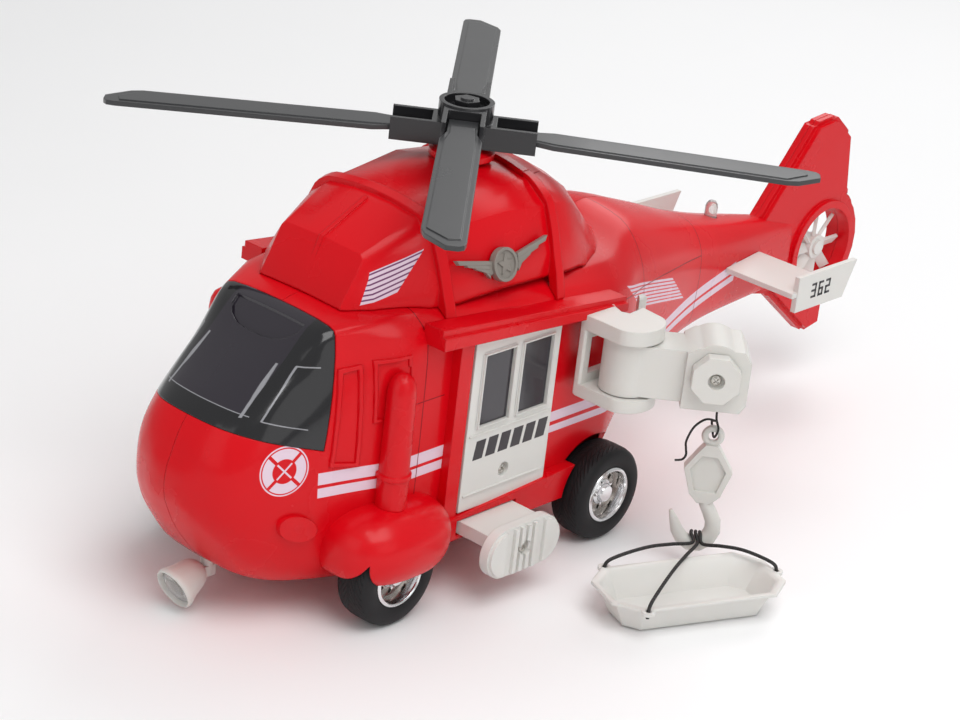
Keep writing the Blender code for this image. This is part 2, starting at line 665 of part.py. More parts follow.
tyre_shape = tyre()
rim_shape = rim()
for end, axle_x in (("front", FRONT_AXLE_X), ("rear", REAR_AXLE_X)):
    for side, sign in (("left", 1), ("right", -1)):
        middle = WHEEL_OUT - TYRE_WIDE / 2
        place = Matrix.Translation((axle_x, sign * middle, WHEEL_R))
        flip = Matrix.Diagonal((1.0, float(sign), 1.0, 1.0))
        wheel = change(copy_of(tyre_shape), place @ flip)
        hub = change(copy_of(rim_shape), place @ flip)
        pivot = (axle_x, sign * middle, WHEEL_R)
        done(wheel, "tyre_" + end + "_" + side, "rubber", pivot)
        done(hub, "rim_" + end + "_" + side, "chrome", pivot)
    bar = rod((axle_x, -51.0, WHEEL_R), (axle_x, 51.0, WHEEL_R), AXLE_R, 12)
    done(bar, "axle_" + end, "steel", (axle_x, 0, WHEEL_R))
for shape in (tyre_shape, rim_shape):
    bpy.data.objects.remove(shape)


def gear(teeth, module, bore, low, high, centre, phase=0.0):
    outline = []
    pitch = 360.0 / teeth
    for k in range(teeth):
        for r, at in ((-1.1, -0.34), (0.8, -0.13), (0.8, 0.13), (-1.1, 0.34)):
            bend = math.radians(phase + pitch * (k + at))
            radius = teeth * module / 2 + r * module
            outline.append((centre[0] + radius * math.cos(bend), centre[1] + radius * math.sin(bend)))
    made = prism(outline, "Y", low, high)
    if bore:
        cut(made, rod((centre[0], low - 5, centre[1]), (centre[0], high + 5, centre[1]), bore, 12))
    return made


GEAR = (REAR_AXLE_X, WHEEL_R)
PINION = (REAR_AXLE_X + 12.7, WHEEL_R + 0.0)
done(gear(20, 0.8, AXLE_R + 0.25, 10.0, 14.0, GEAR), "drive_gear", "white", (GEAR[0], 0, GEAR[1]))
pinion = gear(10, 0.8, 0, 9.4, 14.6, PINION, 180.0 + 18.0)
join(pinion, rod((PINION[0], -12, PINION[1]), (PINION[0], 20, PINION[1]), 1.5, 12))
join(pinion, rod((PINION[0], -8, PINION[1]), (PINION[0], 4, PINION[1]), 7.0, 24))
done(pinion, "flywheel", "steel", (PINION[0], 0, PINION[1]))

# ---- inside the body ----
done(box(-30, 35, -24, 24, 99, 112), "battery_box", "black")
done(box(45, 49, -22, 22, 50, 90), "circuit_board", "green")
tray = box(-60, -18, -17, 17, 8.0, 20)
cut(tray, box(-58.4, -19.6, -15.4, 15.4, 9.6, 30), body_solid(GAP))
done(tray, "drive_cover", "red")

# ---- rotor ----
done(rod((0, 0, 120), (0, 0, 157.2), MAST_R, 16), "rotor_mast", "black", (0, 0, 165))


def rotor_hub():
    made = rod((0, 0, 159.0), (0, 0, 173.6), 10.5, 24)
    cut(made, rod((0, 0, 170.6), (0, 0, 180), 7.8, 24))
    join(made, rod((0, 0, 165), (0, 0, 174.4), 5.0, 6))
    for turn_by, low, high in ((ROTOR_TURN + 90, 157.6, 166.4), (ROTOR_TURN, 164.6, 173.0)):
        bar = box(-27.5, 27.5, -8, 8, low, high)
        for side in (-1, 1):
            a, b = sorted((side * 11.5, side * 40.0))
            cut(bar, box(a, b, -6.2, 6.2, low + 2.0, high + 5))
        join(made, moved(bar, turn=turn_by))
    return made


def blade(turn_by, root_z):
    plan = [(12.6, -5.6), (28, -5.6), (33, -8.0), (124, -8.0), (ROTOR_R, -1.0), (ROTOR_R, 5.0), (131, 8.0)]
    plan += [(33, 8.0), (28, 5.6), (12.6, 5.6)]
    made = prism(plan, "Z", -1.1, 1.1)
    slope = Matrix.Rotation(math.radians(1.6), 4, "Y")
    change(made, Matrix.Translation((18, 0, root_z)) @ slope @ Matrix.Translation((-18, 0, 0)))
    return moved(made, turn=turn_by)


done(rotor_hub(), "rotor_hub", "black", (0, 0, 165))
BLADES = ((ROTOR_TURN + 90, 161.8), (ROTOR_TURN - 90, 161.8), (ROTOR_TURN, 168.6), (ROTOR_TURN + 180, 168.6))
for number, (turn_by, root_z) in enumerate(BLADES):
    done(blade(turn_by, root_z), "rotor_blade_" + str(number + 1), "black", (0, 0, 165))

# ---- tail ----
fan = rod((FAN[0], -2.6, FAN[1]), (FAN[0], 2.6, FAN[1]), 5.5, 20)
for k in range(8):
    vane = box(3, FAN_R - 0.6, -0.9, 0.9, -2.6, 2.6)
    tilt = Matrix.Rotation(math.radians(35), 4, "X")
    spin = Matrix.Rotation(math.radians(45 * k), 4, "Y")
    join(fan, change(vane, Matrix.Translation((FAN[0], 0, FAN[1])) @ spin @ tilt))
done(fan, "tail_fan", "white", (FAN[0], 0, FAN[1]))

for side, sign in (("left", 1), ("right", -1)):
    low, high = sorted((sign * 14.5, sign * 49.5))
    wing = prism([(-163, 12), (-163, 49.5), (-192, 49.5), (-192, 10)], "Z", 74.2, 76.6)
    plate = prism([(-166.5, 67.2), (-200.7, 67.2), (-208, 82.9), (-166.5, 82.9)], "Y", 47.4, 49.8)
    join(wing, plate)
    cut(wing, body_solid(GAP))
    if sign < 0:
        change(wing, Matrix.Diagonal((1.0, -1.0, 1.0, 1.0)))
    done(wing, "tailplane_" + side, "white")

lens = lathe([(0, 92), (2.7, 92), (2.7, 99.5), (1.9, 101.4), (0, 102)], (-166, 0, 0), (0, 0, 1), 14)
cut(shell, rod((-166, 0, 88), (-166, 0, 110), 3.05, 14))
done(lens, "beacon", "clear")

# ---- searchlight on a vertical pin under the nose ----
way = Vector((0.92, 0.0, -0.39)).normalized()
LAMP = Vector((124.0, 0.0, 12.2))
bell = [(0, -5.0), (4.5, -4.5), (6.0, -2.0), (7.0, 3.0), (8.4, 7.0), (8.4, 8.4), (7.5, 8.4), (6.2, 4.0), (0, 4.0)]
lamp = lathe(bell, LAMP, way, 20)
join(lamp, box(113.5, 121.5, -2.4, 2.4, 10.5, 14.8), rod((116, 0, 11), (116, 0, 21), 2.5, 12))
done(lamp, "searchlight", "white", (116, 0, 12))
glass = lathe([(0, 4.4), (5.8, 4.4), (6.9, 7.4), (4.6, 8.3), (0, 8.9)], LAMP, way, 20)
done(glass, "searchlight_lens", "clear", (116, 0, 12))

# ---- the two body halves ----
left = common(copy_of(shell), box(-400, 300, 0.1, 200, -50, 300))
right = mirrored(left)
bpy.data.objects.remove(shell)
done(left, "hull_left", "red")
done(right, "hull_right", "red")
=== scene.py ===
"""Toy rescue helicopter, dressed for the render.

Shapes are drawn in millimetres from the rotor mast (X forward, Y left, Z up) and moved to the
shared frame in metres when they are placed.
"""

import math

import bmesh
import bpy
from mathutils import Matrix, Vector


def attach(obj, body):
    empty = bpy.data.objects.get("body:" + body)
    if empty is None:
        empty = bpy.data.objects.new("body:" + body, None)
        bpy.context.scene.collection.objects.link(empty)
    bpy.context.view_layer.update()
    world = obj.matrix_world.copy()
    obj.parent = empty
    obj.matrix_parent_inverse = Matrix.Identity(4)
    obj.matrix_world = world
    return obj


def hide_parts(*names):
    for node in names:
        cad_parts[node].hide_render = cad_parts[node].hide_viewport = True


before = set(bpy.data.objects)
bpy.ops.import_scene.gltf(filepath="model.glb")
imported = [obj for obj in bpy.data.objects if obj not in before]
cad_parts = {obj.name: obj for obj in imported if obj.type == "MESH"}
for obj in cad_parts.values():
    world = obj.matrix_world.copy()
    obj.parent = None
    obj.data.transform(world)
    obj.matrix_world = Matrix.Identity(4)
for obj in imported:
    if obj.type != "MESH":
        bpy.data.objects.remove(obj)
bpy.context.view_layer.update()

MIDDLE_X = -68.0
WALL = 2.0
HALF_WIDTH = 45.5
FRAME_OUT = 50.0
WHEEL_R = 19.6
WHEEL_OUT = 57.0
TYRE_WIDE = 15.0
FRONT_AXLE_X = 73.1
REAR_AXLE_X = -45.4
ROTOR_R = 135.0
ROTOR_TURN = 39.6
PIVOT = (-33.0, 66.0)
BOOM_TURN = 132.0
REEL_OUT = 32.5
REEL_Z = 86.0
FAN = (-248.0, 64.4)
FAN_R = 18.0
STEP_X = 21.0
STEP_Z = 22.5
EYE_Z = 56.5
HOOK_TURN = 128.0
BASKET_TURN = 157.0

# ---- camera, with the view turned a little about its own axis ----
CAMERA_AT = (0.73854 - MIDDLE_X * 0.001, 0.63849, 0.48347)
CAMERA_TURN = 39.901
CAMERA_DOWN = 22.966
CAMERA_ROLL = -6.733
lens = bpy.data.cameras.new("camera")
lens.sensor_width = 36.0
lens.lens = 102.58
lens.clip_start = 0.01
lens.clip_end = 20.0
camera = bpy.data.objects.new("camera", lens)
bpy.context.scene.collection.objects.link(camera)
around = math.radians(CAMERA_TURN)
down = math.radians(CAMERA_DOWN)
roll = math.radians(CAMERA_ROLL)
back = Vector((math.cos(around) * math.cos(down), math.sin(around) * math.cos(down), math.sin(down)))
right = Vector((-math.sin(around), math.cos(around), 0.0))
up = back.cross(right)
image_right = right * math.cos(roll) - up * math.sin(roll)
image_up = right * math.sin(roll) + up * math.cos(roll)
turned = Matrix((image_right, image_up, back)).transposed().to_4x4()
camera.matrix_world = Matrix.Translation(CAMERA_AT) @ turned
bpy.context.scene.camera = camera


def solid(points, faces):
    mesh = bpy.data.meshes.new("shape")
    mesh.from_pydata([tuple(p) for p in points], [], faces)
    work = bmesh.new()
    work.from_mesh(mesh)
    bmesh.ops.remove_doubles(work, verts=work.verts, dist=1e-4)
    bmesh.ops.recalc_face_normals(work, faces=work.faces)
    work.to_mesh(mesh)
    work.free()
    made = bpy.data.objects.new("shape", mesh)
    bpy.context.scene.collection.objects.link(made)
    return made


def mix(target, tool, operation, keep_tool=False):
    change = target.modifiers.new("mix", "BOOLEAN")
    change.operation = operation
    change.solver = "MANIFOLD"
    change.object = tool
    bpy.context.view_layer.update()
    graph = bpy.context.evaluated_depsgraph_get()
    mesh = bpy.data.meshes.new_from_object(target.evaluated_get(graph))
    target.modifiers.clear()
    target.data = mesh
    if not keep_tool:
        bpy.data.objects.remove(tool)
    return target


def join(target, *tools):
    for tool in tools:
        mix(target, tool, "UNION")
    return target


def cut(target, *tools):
    for tool in tools:
        mix(target, tool, "DIFFERENCE")
    return target


def common(target, tool):
    return mix(target, tool, "INTERSECT")


def copy_of(shape):
    made = bpy.data.objects.new("shape", shape.data.copy())
    bpy.context.scene.collection.objects.link(made)
    return made


def change(shape, matrix):
    shape.data.transform(matrix)
    if matrix.determinant() < 0:
        shape.data.flip_normals()
    return shape


def mirrored(shape):
    return change(copy_of(shape), Matrix.Diagonal((1.0, -1.0, 1.0, 1.0)))


def moved(shape, x=0.0, y=0.0, z=0.0, turn=0.0, tilt=0.0):
    """Tilt about Y, then turn about Z, then shift."""
    spin = Matrix.Rotation(math.radians(turn), 4, "Z") @ Matrix.Rotation(math.radians(tilt), 4, "Y")
    return change(shape, Matrix.Translation((x, y, z)) @ spin)


def bevelled(shape, width, segments=1):
    work = bmesh.new()
    work.from_mesh(shape.data)
    bmesh.ops.bevel(work, geom=work.edges[:], offset=width, segments=segments, affect="EDGES")
    work.to_mesh(shape.data)
    work.free()
    return shape


def box(x0, x1, y0, y1, z0, z1, chamfer=0.0):
    points = [(x, y, z) for x in (x0, x1) for y in (y0, y1) for z in (z0, z1)]
    faces = [(0, 1, 3, 2), (4, 6, 7, 5), (0, 4, 5, 1), (2, 3, 7, 6), (0, 2, 6, 4), (1, 5, 7, 3)]
    made = solid(points, faces)
    if chamfer:
        bevelled(made, chamfer)
    return made


def prism(outline, axis, low, high):
    """A polygon swept along an axis: outline holds (x,z) for Y, (x,y) for Z and (y,z) for X."""
    count = len(outline)
    points = []
    for level in (low, high):
        for a, b in outline:
            points.append({"X": (level, a, b), "Y": (a, level, b), "Z": (a, b, level)}[axis])
    faces = [tuple(range(count)), tuple(range(2 * count - 1, count - 1, -1))]
    for i in range(count):
        j = (i + 1) % count
        faces.append((i, j, j + count, i + count))
    return solid(points, faces)


def loft(rings):
    count = len(rings[0])
    points = [p for ring in rings for p in ring]
    faces = [tuple(range(count)), tuple(range(len(points) - count, len(points)))]
    for k in range(len(rings) - 1):
        for i in range(count):
            j = (i + 1) % count
            a = k * count
            faces.append((a + i, a + j, a + j + count, a + i + count))
    return solid(points, faces)


def frame_of(direction):
    way = Vector(direction).normalized()
    side = way.orthogonal().normalized()
    return way, side, way.cross(side)


def lathe(profile, centre, direction, count, start=0.0):
    """A profile of (radius, height) turned round a line. A profile that starts off the line closes
    on itself."""
    way, side, third = frame_of(direction)
    base = Vector(centre)
    open_ended = profile[0][0] == 0 and profile[-1][0] == 0
    rings = []
    points = []
    for radius, height in profile:
        ring = []
        for k in range(1 if radius == 0 else count):
            angle = start + 2 * math.pi * k / count
            out = side * math.cos(angle) + third * math.sin(angle)
            ring.append(len(points))
            points.append(base + way * height + out * radius)
        rings.append(ring)
    faces = []
    pairs = list(zip(rings, rings[1:]))
    if not open_ended:
        pairs.append((rings[-1], rings[0]))
    for low, high in pairs:
        for k in range(count):
            m = (k + 1) % count
            if len(low) == 1:
                faces.append((low[0], high[k], high[m]))
            elif len(high) == 1:
                faces.append((low[k], low[m], high[0]))
            else:
                faces.append((low[k], low[m], high[m], high[k]))
    return solid(points, faces)


def rod(start, end, radius, count=16, radius2=None):
    length = (Vector(end) - Vector(start)).length
    far = radius if radius2 is None else radius2
    profile = [(0, 0), (radius, 0), (far, length), (0, length)]
    return lathe(profile, start, Vector(end) - Vector(start), count)


def ring_prism(radius, count, start=0.0, centre=(0.0, 0.0), squash=1.0):
    outline = []
    for k in range(count):
        angle = math.radians(start + 360.0 * k / count)
        outline.append((centre[0] + radius * math.cos(angle), centre[1] + squash * radius * math.sin(angle)))
    return outline


def tube(path, radii, count=8):
    """A round bar along a path, with the same section carried from point to point."""
    way, side, third = frame_of(Vector(path[1]) - Vector(path[0]))
    if not isinstance(radii, (list, tuple)):
        radii = [radii] * len(path)
    rings = []
    for k, here in enumerate(path):
        before = Vector(path[max(k - 1, 0)])
        after = Vector(path[min(k + 1, len(path) - 1)])
        along = (after - before).normalized()
        side = (side - along * side.dot(along)).normalized()
        third = along.cross(side)
        ring = []
        for i in range(count):
            angle = 2 * math.pi * i / count
            ring.append(Vector(here) + (side * math.cos(angle) + third * math.sin(angle)) * radii[k])
        rings.append(ring)
    return loft(rings)



# ---- body sections: (x, half outline from the top middle to the bottom middle) ----
BODY = [
    (141.0, [(0, 63), (6, 62.5), (9, 61), (10.5, 58), (11, 54), (10.5, 50), (9, 47.5), (6, 46.5), (0, 46)]),
    (137.0, [(0, 73), (9, 72), (15, 69), (19, 63), (20, 56), (19.5, 48), (16, 42), (10, 39), (0, 38)]),
    (131.0, [(0, 81.5), (12, 80), (19, 76), (24.5, 68), (26.5, 57), (26, 45), (22, 36), (14, 31),
             (0, 29.5)]),
    (118.0, [(0, 91.5), (15, 90), (23, 86), (29.5, 76), (32, 61), (32.5, 42), (29, 27), (20, 18.5),
             (0, 17)]),
    (104.0, [(0, 102), (18, 101), (25.5, 97), (32, 84), (35, 68), (36.5, 44), (34, 24), (26, 15),
             (0, 13.5)]),
    (91.0, [(0, 112.5), (24, 111.5), (29.5, 107), (35, 91), (38.5, 70), (39.5, 44), (37.5, 22),
            (29, 13.5), (0, 12.5)]),
    (62.0, [(0, 116), (30, 115), (38, 112.5), (44.5, 105), (45.5, 80), (45.5, 44), (44, 20), (36, 12.5),
            (0, 12)]),
    (0.0, [(0, 115), (30, 114), (38, 111), (44.5, 103.5), (45.5, 78), (45.5, 44), (44, 20), (36, 12.5),
           (0, 12)]),
    (-48.0, [(0, 114), (30, 112), (37.5, 108), (44, 100), (45.5, 78), (45.5, 48), (44, 24), (36, 15),
             (0, 14)]),
    (-60.0, [(0, 116), (26, 113), (35, 108), (41.5, 99), (43, 80), (42.5, 54), (40.5, 38), (33, 31),
             (0, 29)]),
    (-78.0, [(0, 120), (19, 117), (28, 110), (34, 99), (36, 84), (35, 62), (33, 46), (27, 38), (0, 35)]),
    (-105.0, [(0, 113), (13, 111), (21, 105), (26, 96), (27.5, 84), (27, 68), (25, 54), (20, 47), (0, 44)]),
    (-138.0, [(0, 102), (9, 100.5), (14, 96.5), (17.5, 90), (18.5, 81), (18, 69), (17, 59), (13, 53),
              (0, 51)]),
    (-165.0, [(0, 95), (7, 94), (10.5, 91), (13, 86), (14, 78), (13.5, 68), (12.5, 60), (10, 54.5),
              (0, 53)]),
    (-200.0, [(0, 88), (4, 87.5), (6.5, 85.5), (8, 82), (8.5, 75), (8.5, 66), (8, 58), (6, 54), (0, 53)]),
    (-222.0, [(0, 83), (3, 82.5), (4.5, 81), (5.2, 78), (5.6, 72), (5.6, 64), (5.2, 57), (4, 54), (0, 53)]),
]



ROOF = [
    (80.3, [(21.5, 108), (21.5, 113.5), (20.5, 115), (14, 115.8), (7, 116.2), (0, 116.6)]),
    (71.0, [(30, 108), (28, 119), (21, 131.5), (19.4, 133.2), (8, 133.6), (0, 133.8)]),
    (50.0, [(37.5, 108), (36, 120), (28, 138), (22, 142.5), (9, 144.2), (0, 144.6)]),
    (37.0, [(39, 108), (38, 122), (31, 140), (23, 145), (10, 147), (0, 147.3)]),
    (10.0, [(40, 106), (39, 124), (33, 142), (24, 148.5), (10, 151.5), (0, 152)]),
    (-25.0, [(39, 106), (38, 122), (32, 139), (22, 146), (9, 149), (0, 149.5)]),
    (-40.0, [(36, 106), (34, 118), (28, 131), (19, 138), (8, 141), (0, 141.5)]),
    (-52.0, [(31, 106), (29, 114), (23, 122), (15, 127), (7, 129.5), (0, 130)]),
    (-62.0, [(24, 106), (22, 112), (18, 116), (12, 119), (6, 120.5), (0, 121)]),
]



FIN = [(-196, 86), (-199.5, 87.6), (-232, 126), (-247, 127.5), (-260, 117), (-264.5, 88)]
for step in range(9):
    bend = math.radians(130 + 15 * step)
    FIN.append((FAN[0] + 29 * math.cos(bend), FAN[1] + 29 * math.sin(bend)))
FIN += [(-258, 25), (-247, 23), (-214, 49), (-196, 53)]




# ---- finer versions of the shared sections ----
def slopes(xs, values):
    """Slopes for a curve through the values that never overshoots them."""
    steps = [(values[i + 1] - values[i]) / (xs[i + 1] - xs[i]) for i in range(len(xs) - 1)]
    found = [steps[0]]
    for a, b in zip(steps, steps[1:]):
        found.append(0.0 if a * b <= 0 else 2 * a * b / (a + b))
    return found + [steps[-1]]


def refined(table, between):
    """The same sections with more of them in between, eased along the length."""
    xs = [row[0] for row in table]
    count = len(table[0][1])
    curves = []
    for j in range(count):
        for k in (0, 1):
            values = [row[1][j][k] for row in table]
            curves.append((values, slopes(xs, values)))
    rows = []
    for i in range(len(xs) - 1):
        for n in range(between):
            t = n / between
            span = xs[i + 1] - xs[i]
            flat = []
            for values, slope in curves:
                h1 = (1 + 2 * t) * (1 - t) ** 2 * values[i] + t * t * (3 - 2 * t) * values[i + 1]
                h2 = t * (1 - t) ** 2 * span * slope[i] - t * t * (1 - t) * span * slope[i + 1]
                flat.append(h1 + h2)
            rows.append((xs[i] + span * t, [(flat[2 * j], flat[2 * j + 1]) for j in range(count)]))
    return rows + [table[-1]]


def rounded(ring, parts, tight=0.5):
    """A closed outline with a curve carried through its points."""
    made = []
    count = len(ring)
    for i in range(count):
        p0, p1, p2, p3 = (ring[(i + k) % count] for k in (-1, 0, 1, 2))
        for n in range(parts):
            t = n / parts
            spot = []
            for a, b, c, d in zip(p0, p1, p2, p3):
                m1 = (c - a) * tight
                m2 = (d - b) * tight
                value = (2 * t**3 - 3 * t**2 + 1) * b + (t**3 - 2 * t**2 + t) * m1
                spot.append(value + (3 * t**2 - 2 * t**3) * c + (t**3 - t**2) * m2)
            made.append(tuple(spot))
    return made


def nose_rows():
    tip = BODY[0][1]
    rows = []
    for x, part in ((142.6, 0.08), (142.35, 0.4), (141.8, 0.75)):
        rows.append((x, [(y * part, 54.5 + (z - 54.5) * part) for y, z in tip]))
    return rows


NOSE_FROM = 100.0
NOSE_SHORTER = 0.94


def body_fine(grow, between=4, parts=3):
    rings = []
    for x, half in nose_rows() + refined(BODY, between):
        wide = max(max(y for y, z in half), 0.5)
        top = half[0][1]
        low = half[-1][1]
        middle = (top + low) / 2
        tall = max((top - low) / 2, 0.5)
        ring = []
        for y, z in half:
            ring.append((y * (wide + grow) / wide, middle + (z - middle) * (tall + grow) / tall))
        full = ring + [(-y, z) for y, z in ring[-2:0:-1]]
        along = x if x < NOSE_FROM else NOSE_FROM + (x - NOSE_FROM) * NOSE_SHORTER
        rings.append([(along * (1 + grow / 141.0), y, z) for y, z in rounded(full, parts, 0.42)])
    return loft(rings)


def roof_fine(table, grow, parts=3, between=3):
    rings = []
    for x, half in refined(table, between):
        ring = []
        for y, z in half:
            wide = max(half[0][0] + grow, 4.0) / half[0][0]
            tall = z if z <= 108 else 108 + (z - 108) * (half[-1][1] - 108 + grow) / (half[-1][1] - 108)
            ring.append((y * wide, tall))
        ring = [(ring[0][0], 100.0)] + ring[1:]
        full = ring + [(-y, z) for y, z in ring[-2::-1]]
        rings.append([(x, y, z) for y, z in rounded(full, parts, 0.3)])
    return loft(rings)


def between_rows(table, x):
    for (xa, a), (xb, b) in zip(table, table[1:]):
        if xb <= x <= xa:
            t = (xa - x) / (xa - xb)
            return [(p[0] + (q[0] - p[0]) * t, p[1] + (q[1] - p[1]) * t) for p, q in zip(a, b)]
    return table[0][1]


# ---- materials ----
class Look:
    """Builds one node material out of small pieces."""

    def __init__(self, name):
        self.made = bpy.data.materials.new(name)
        self.made.use_nodes = True
        self.tree = self.made.node_tree
        self.shader = self.tree.nodes["Principled BSDF"]
        self.spot = None

    def put(self, socket, value):
        if isinstance(value, (int, float, tuple, list)):
            socket.default_value = value
        else:
            self.tree.links.new(value, socket)

    def math(self, kind, a, b=0.0, c=0.0, clamp=False):
        node = self.tree.nodes.new("ShaderNodeMath")
        node.operation = kind
        node.use_clamp = clamp
        for socket, value in zip(node.inputs, (a, b, c)):
            self.put(socket, value)
        return node.outputs[0]

    def place(self):
        """The point at rest, in millimetres from the mast, as three sockets."""
        if self.spot is None:
            where = self.tree.nodes.new("ShaderNodeTexCoord")
            split = self.tree.nodes.new("ShaderNodeSeparateXYZ")
            self.tree.links.new(where.outputs["Object"], split.inputs[0])
            x = self.math("MULTIPLY_ADD", split.outputs[0], 1000.0, MIDDLE_X)
            y = self.math("MULTIPLY", split.outputs[1], 1000.0)
            z = self.math("MULTIPLY", split.outputs[2], 1000.0)
            self.spot = (x, y, z)
            self.raw = where.outputs["Object"]
        return self.spot

    def within(self, value, low, high, soft=0.12):
        rise = self.math("MULTIPLY_ADD", value, 1.0 / soft, -low / soft + 0.5, clamp=True)
        fall = self.math("MULTIPLY_ADD", value, -1.0 / soft, high / soft + 0.5, clamp=True)
        return self.math("MULTIPLY", rise, fall)

    def all_of(self, *masks):
        out = masks[0]
        for mask in masks[1:]:
            out = self.math("MULTIPLY", out, mask)
        return out

    def any_of(self, *masks):
        out = masks[0]
        for mask in masks[1:]:
            out = self.math("MAXIMUM", out, mask)
        return out

    def line(self, a, x, b, z, c):
        """a*x + b*z + c"""
        first = self.math("MULTIPLY_ADD", x, a, c)
        return self.math("MULTIPLY_ADD", z, b, first)

    def noise(self, scale, detail=2.0):
        self.place()
        node = self.tree.nodes.new("ShaderNodeTexNoise")
        node.inputs["Scale"].default_value = scale
        node.inputs["Detail"].default_value = detail
        self.tree.links.new(self.raw, node.inputs["Vector"])
        return node.outputs["Fac"]

    def blend(self, factor, a, b):
        node = self.tree.nodes.new("ShaderNodeMix")
        node.data_type = "RGBA"
        self.put(node.inputs[0], factor)
        for socket, value in ((node.inputs[6], a), (node.inputs[7], b)):
            self.put(socket, (*value, 1.0) if isinstance(value, tuple) and len(value) == 3 else value)
        return node.outputs[2]

    def rough(self, low, high, scale=40.0):
        grain = self.noise(scale, 4.0)
        self.put(self.shader.inputs["Roughness"], self.math("MULTIPLY_ADD", grain, high - low, low))

    def surface(self, radius=0.0005, height=None, strength=0.3, distance=0.0003):
        """Softened edges, with a fine height on top."""
        normal = None
        if radius:
            edge = self.tree.nodes.new("ShaderNodeBevel")
            edge.samples = 6
            edge.inputs["Radius"].default_value = radius
            normal = edge.outputs[0]
        if height is not None:
            bump = self.tree.nodes.new("ShaderNodeBump")
            bump.inputs["Strength"].default_value = strength
            bump.inputs["Distance"].default_value = distance
            self.tree.links.new(height, bump.inputs["Height"])
            if normal is not None:
                self.tree.links.new(normal, bump.inputs["Normal"])
            normal = bump.outputs[0]
        if normal is not None:
            self.tree.links.new(normal, self.shader.inputs["Normal"])

    def colour(self, value):
        self.put(self.shader.inputs["Base Color"], (*value, 1.0) if isinstance(value, tuple) else value)

    def constant(self, **values):
        for key, value in values.items():
            self.shader.inputs[key.replace("_", " ")].default_value = value


RED = (0.70, 0.002, 0.008)
RED_DEEP = (0.62, 0.001, 0.006)
LILAC = (0.76, 0.60, 0.70)
WHITE = (0.70, 0.69, 0.66)
BLACK = (0.006, 0.006, 0.007)


def tinted(look, a, b, scale=14.0, masks=()):
    """A base colour that drifts a little from place to place, with flat marks on top."""
    shade = look.blend(look.noise(scale), a, b)
    for mask, paint in masks:
        shade = look.blend(mask, shade, paint)
    look.colour(shade)


def plastic(name, a, b, low, high, radius=0.0005, subsurface=0.0, tint=(1.0, 0.6, 0.4), coat=0.0, shine=0.5):
    look = Look(name)
    tinted(look, a, b)
    look.rough(low, high)
    look.constant(Coat_Weight=coat, Coat_Roughness=0.08, IOR=1.45, Specular_IOR_Level=shine)
    if subsurface:
        look.constant(Subsurface_Weight=subsurface, Subsurface_Scale=0.002, Subsurface_Radius=tint)
    look.surface(radius, look.noise(900.0, 3.0), 0.06, 0.0001)
    return look.made


UPPER_BAND = (56.9, 61.5)
LOWER_BAND = (51.9, 55.6)
AFT_UPPER_BAND = (54.6, 58.8)
AFT_LOWER_BAND = (49.9, 52.9)


def stripes(look, x, y, z):
    """The pair of painted bands along the side and up the boom."""
    side = look.math("GREATER_THAN", y, 20.0)
    bands = look.any_of(look.within(z, *UPPER_BAND), look.within(z, *LOWER_BAND))
    aft_bands = look.any_of(look.within(z, *AFT_UPPER_BAND), look.within(z, *AFT_LOWER_BAND))
    front = look.all_of(look.within(x, 43.5, 100.2), bands)
    aft = look.all_of(look.within(x, -60.5, -13.0), aft_bands)
    rise = look.line(0.13, x, 1.0, z, 0.0)
    tail = look.within(x, -172.0, -84.0)
    tail_top = look.within(rise, 50.2, 54.6)
    tail_low = look.within(rise, 45.6, 48.8)
    front = look.all_of(side, look.any_of(front, aft))
    sides = look.math("GREATER_THAN", y, 4.0)
    rear = look.all_of(sides, tail, look.any_of(tail_top, tail_low))
    return look.any_of(front, rear)


def roundel(look, x, y, z):
    """A plain rescue roundel on the nose: a notched ring, a thin outer ring and a cross of two bars."""
    along = look.line(-0.84, x, 0.54, y, 0.84 * 113.6 - 0.54 * 33.0)
    tall = look.math("SUBTRACT", z, 64.4)
    square = look.math("ADD", look.math("MULTIPLY", along, along), look.math("MULTIPLY", tall, tall))
    away = look.math("SQRT", square)
    a1 = look.math("ABSOLUTE", look.math("ADD", along, tall))
    a2 = look.math("ABSOLUTE", look.math("SUBTRACT", along, tall))
    notch = look.math("GREATER_THAN", look.math("MINIMUM", a1, a2), 0.9)
    ring = look.all_of(look.within(away, 4.6, 8.3), notch)
    edge = look.within(away, 8.8, 9.3)
    arms = look.within(look.math("MINIMUM", a1, a2), -0.5, 0.45)
    cross = look.all_of(arms, look.within(away, -1.0, 3.9))
    near = look.all_of(look.math("GREATER_THAN", y, 18.0), look.math("GREATER_THAN", x, 98.0))
    return look.all_of(near, look.any_of(ring, edge, cross))


def louvres(look, x, y, z):
    """Slanted slats on the flank behind the doors."""
    slant = look.line(-0.253, x, 1.0, z, 0.0)
    ends = look.line(1.0, x, -1.14, z, 0.0)
    wave = look.math("FRACT", look.math("DIVIDE", slant, 1.5))
    slat = look.within(wave, 0.1, 0.72, 0.08)
    area = look.all_of(look.within(slant, 104.6, 115.4), look.within(ends, -209.0, -173.3))
    return look.all_of(area, slat, look.math("GREATER_THAN", y, 12.0))


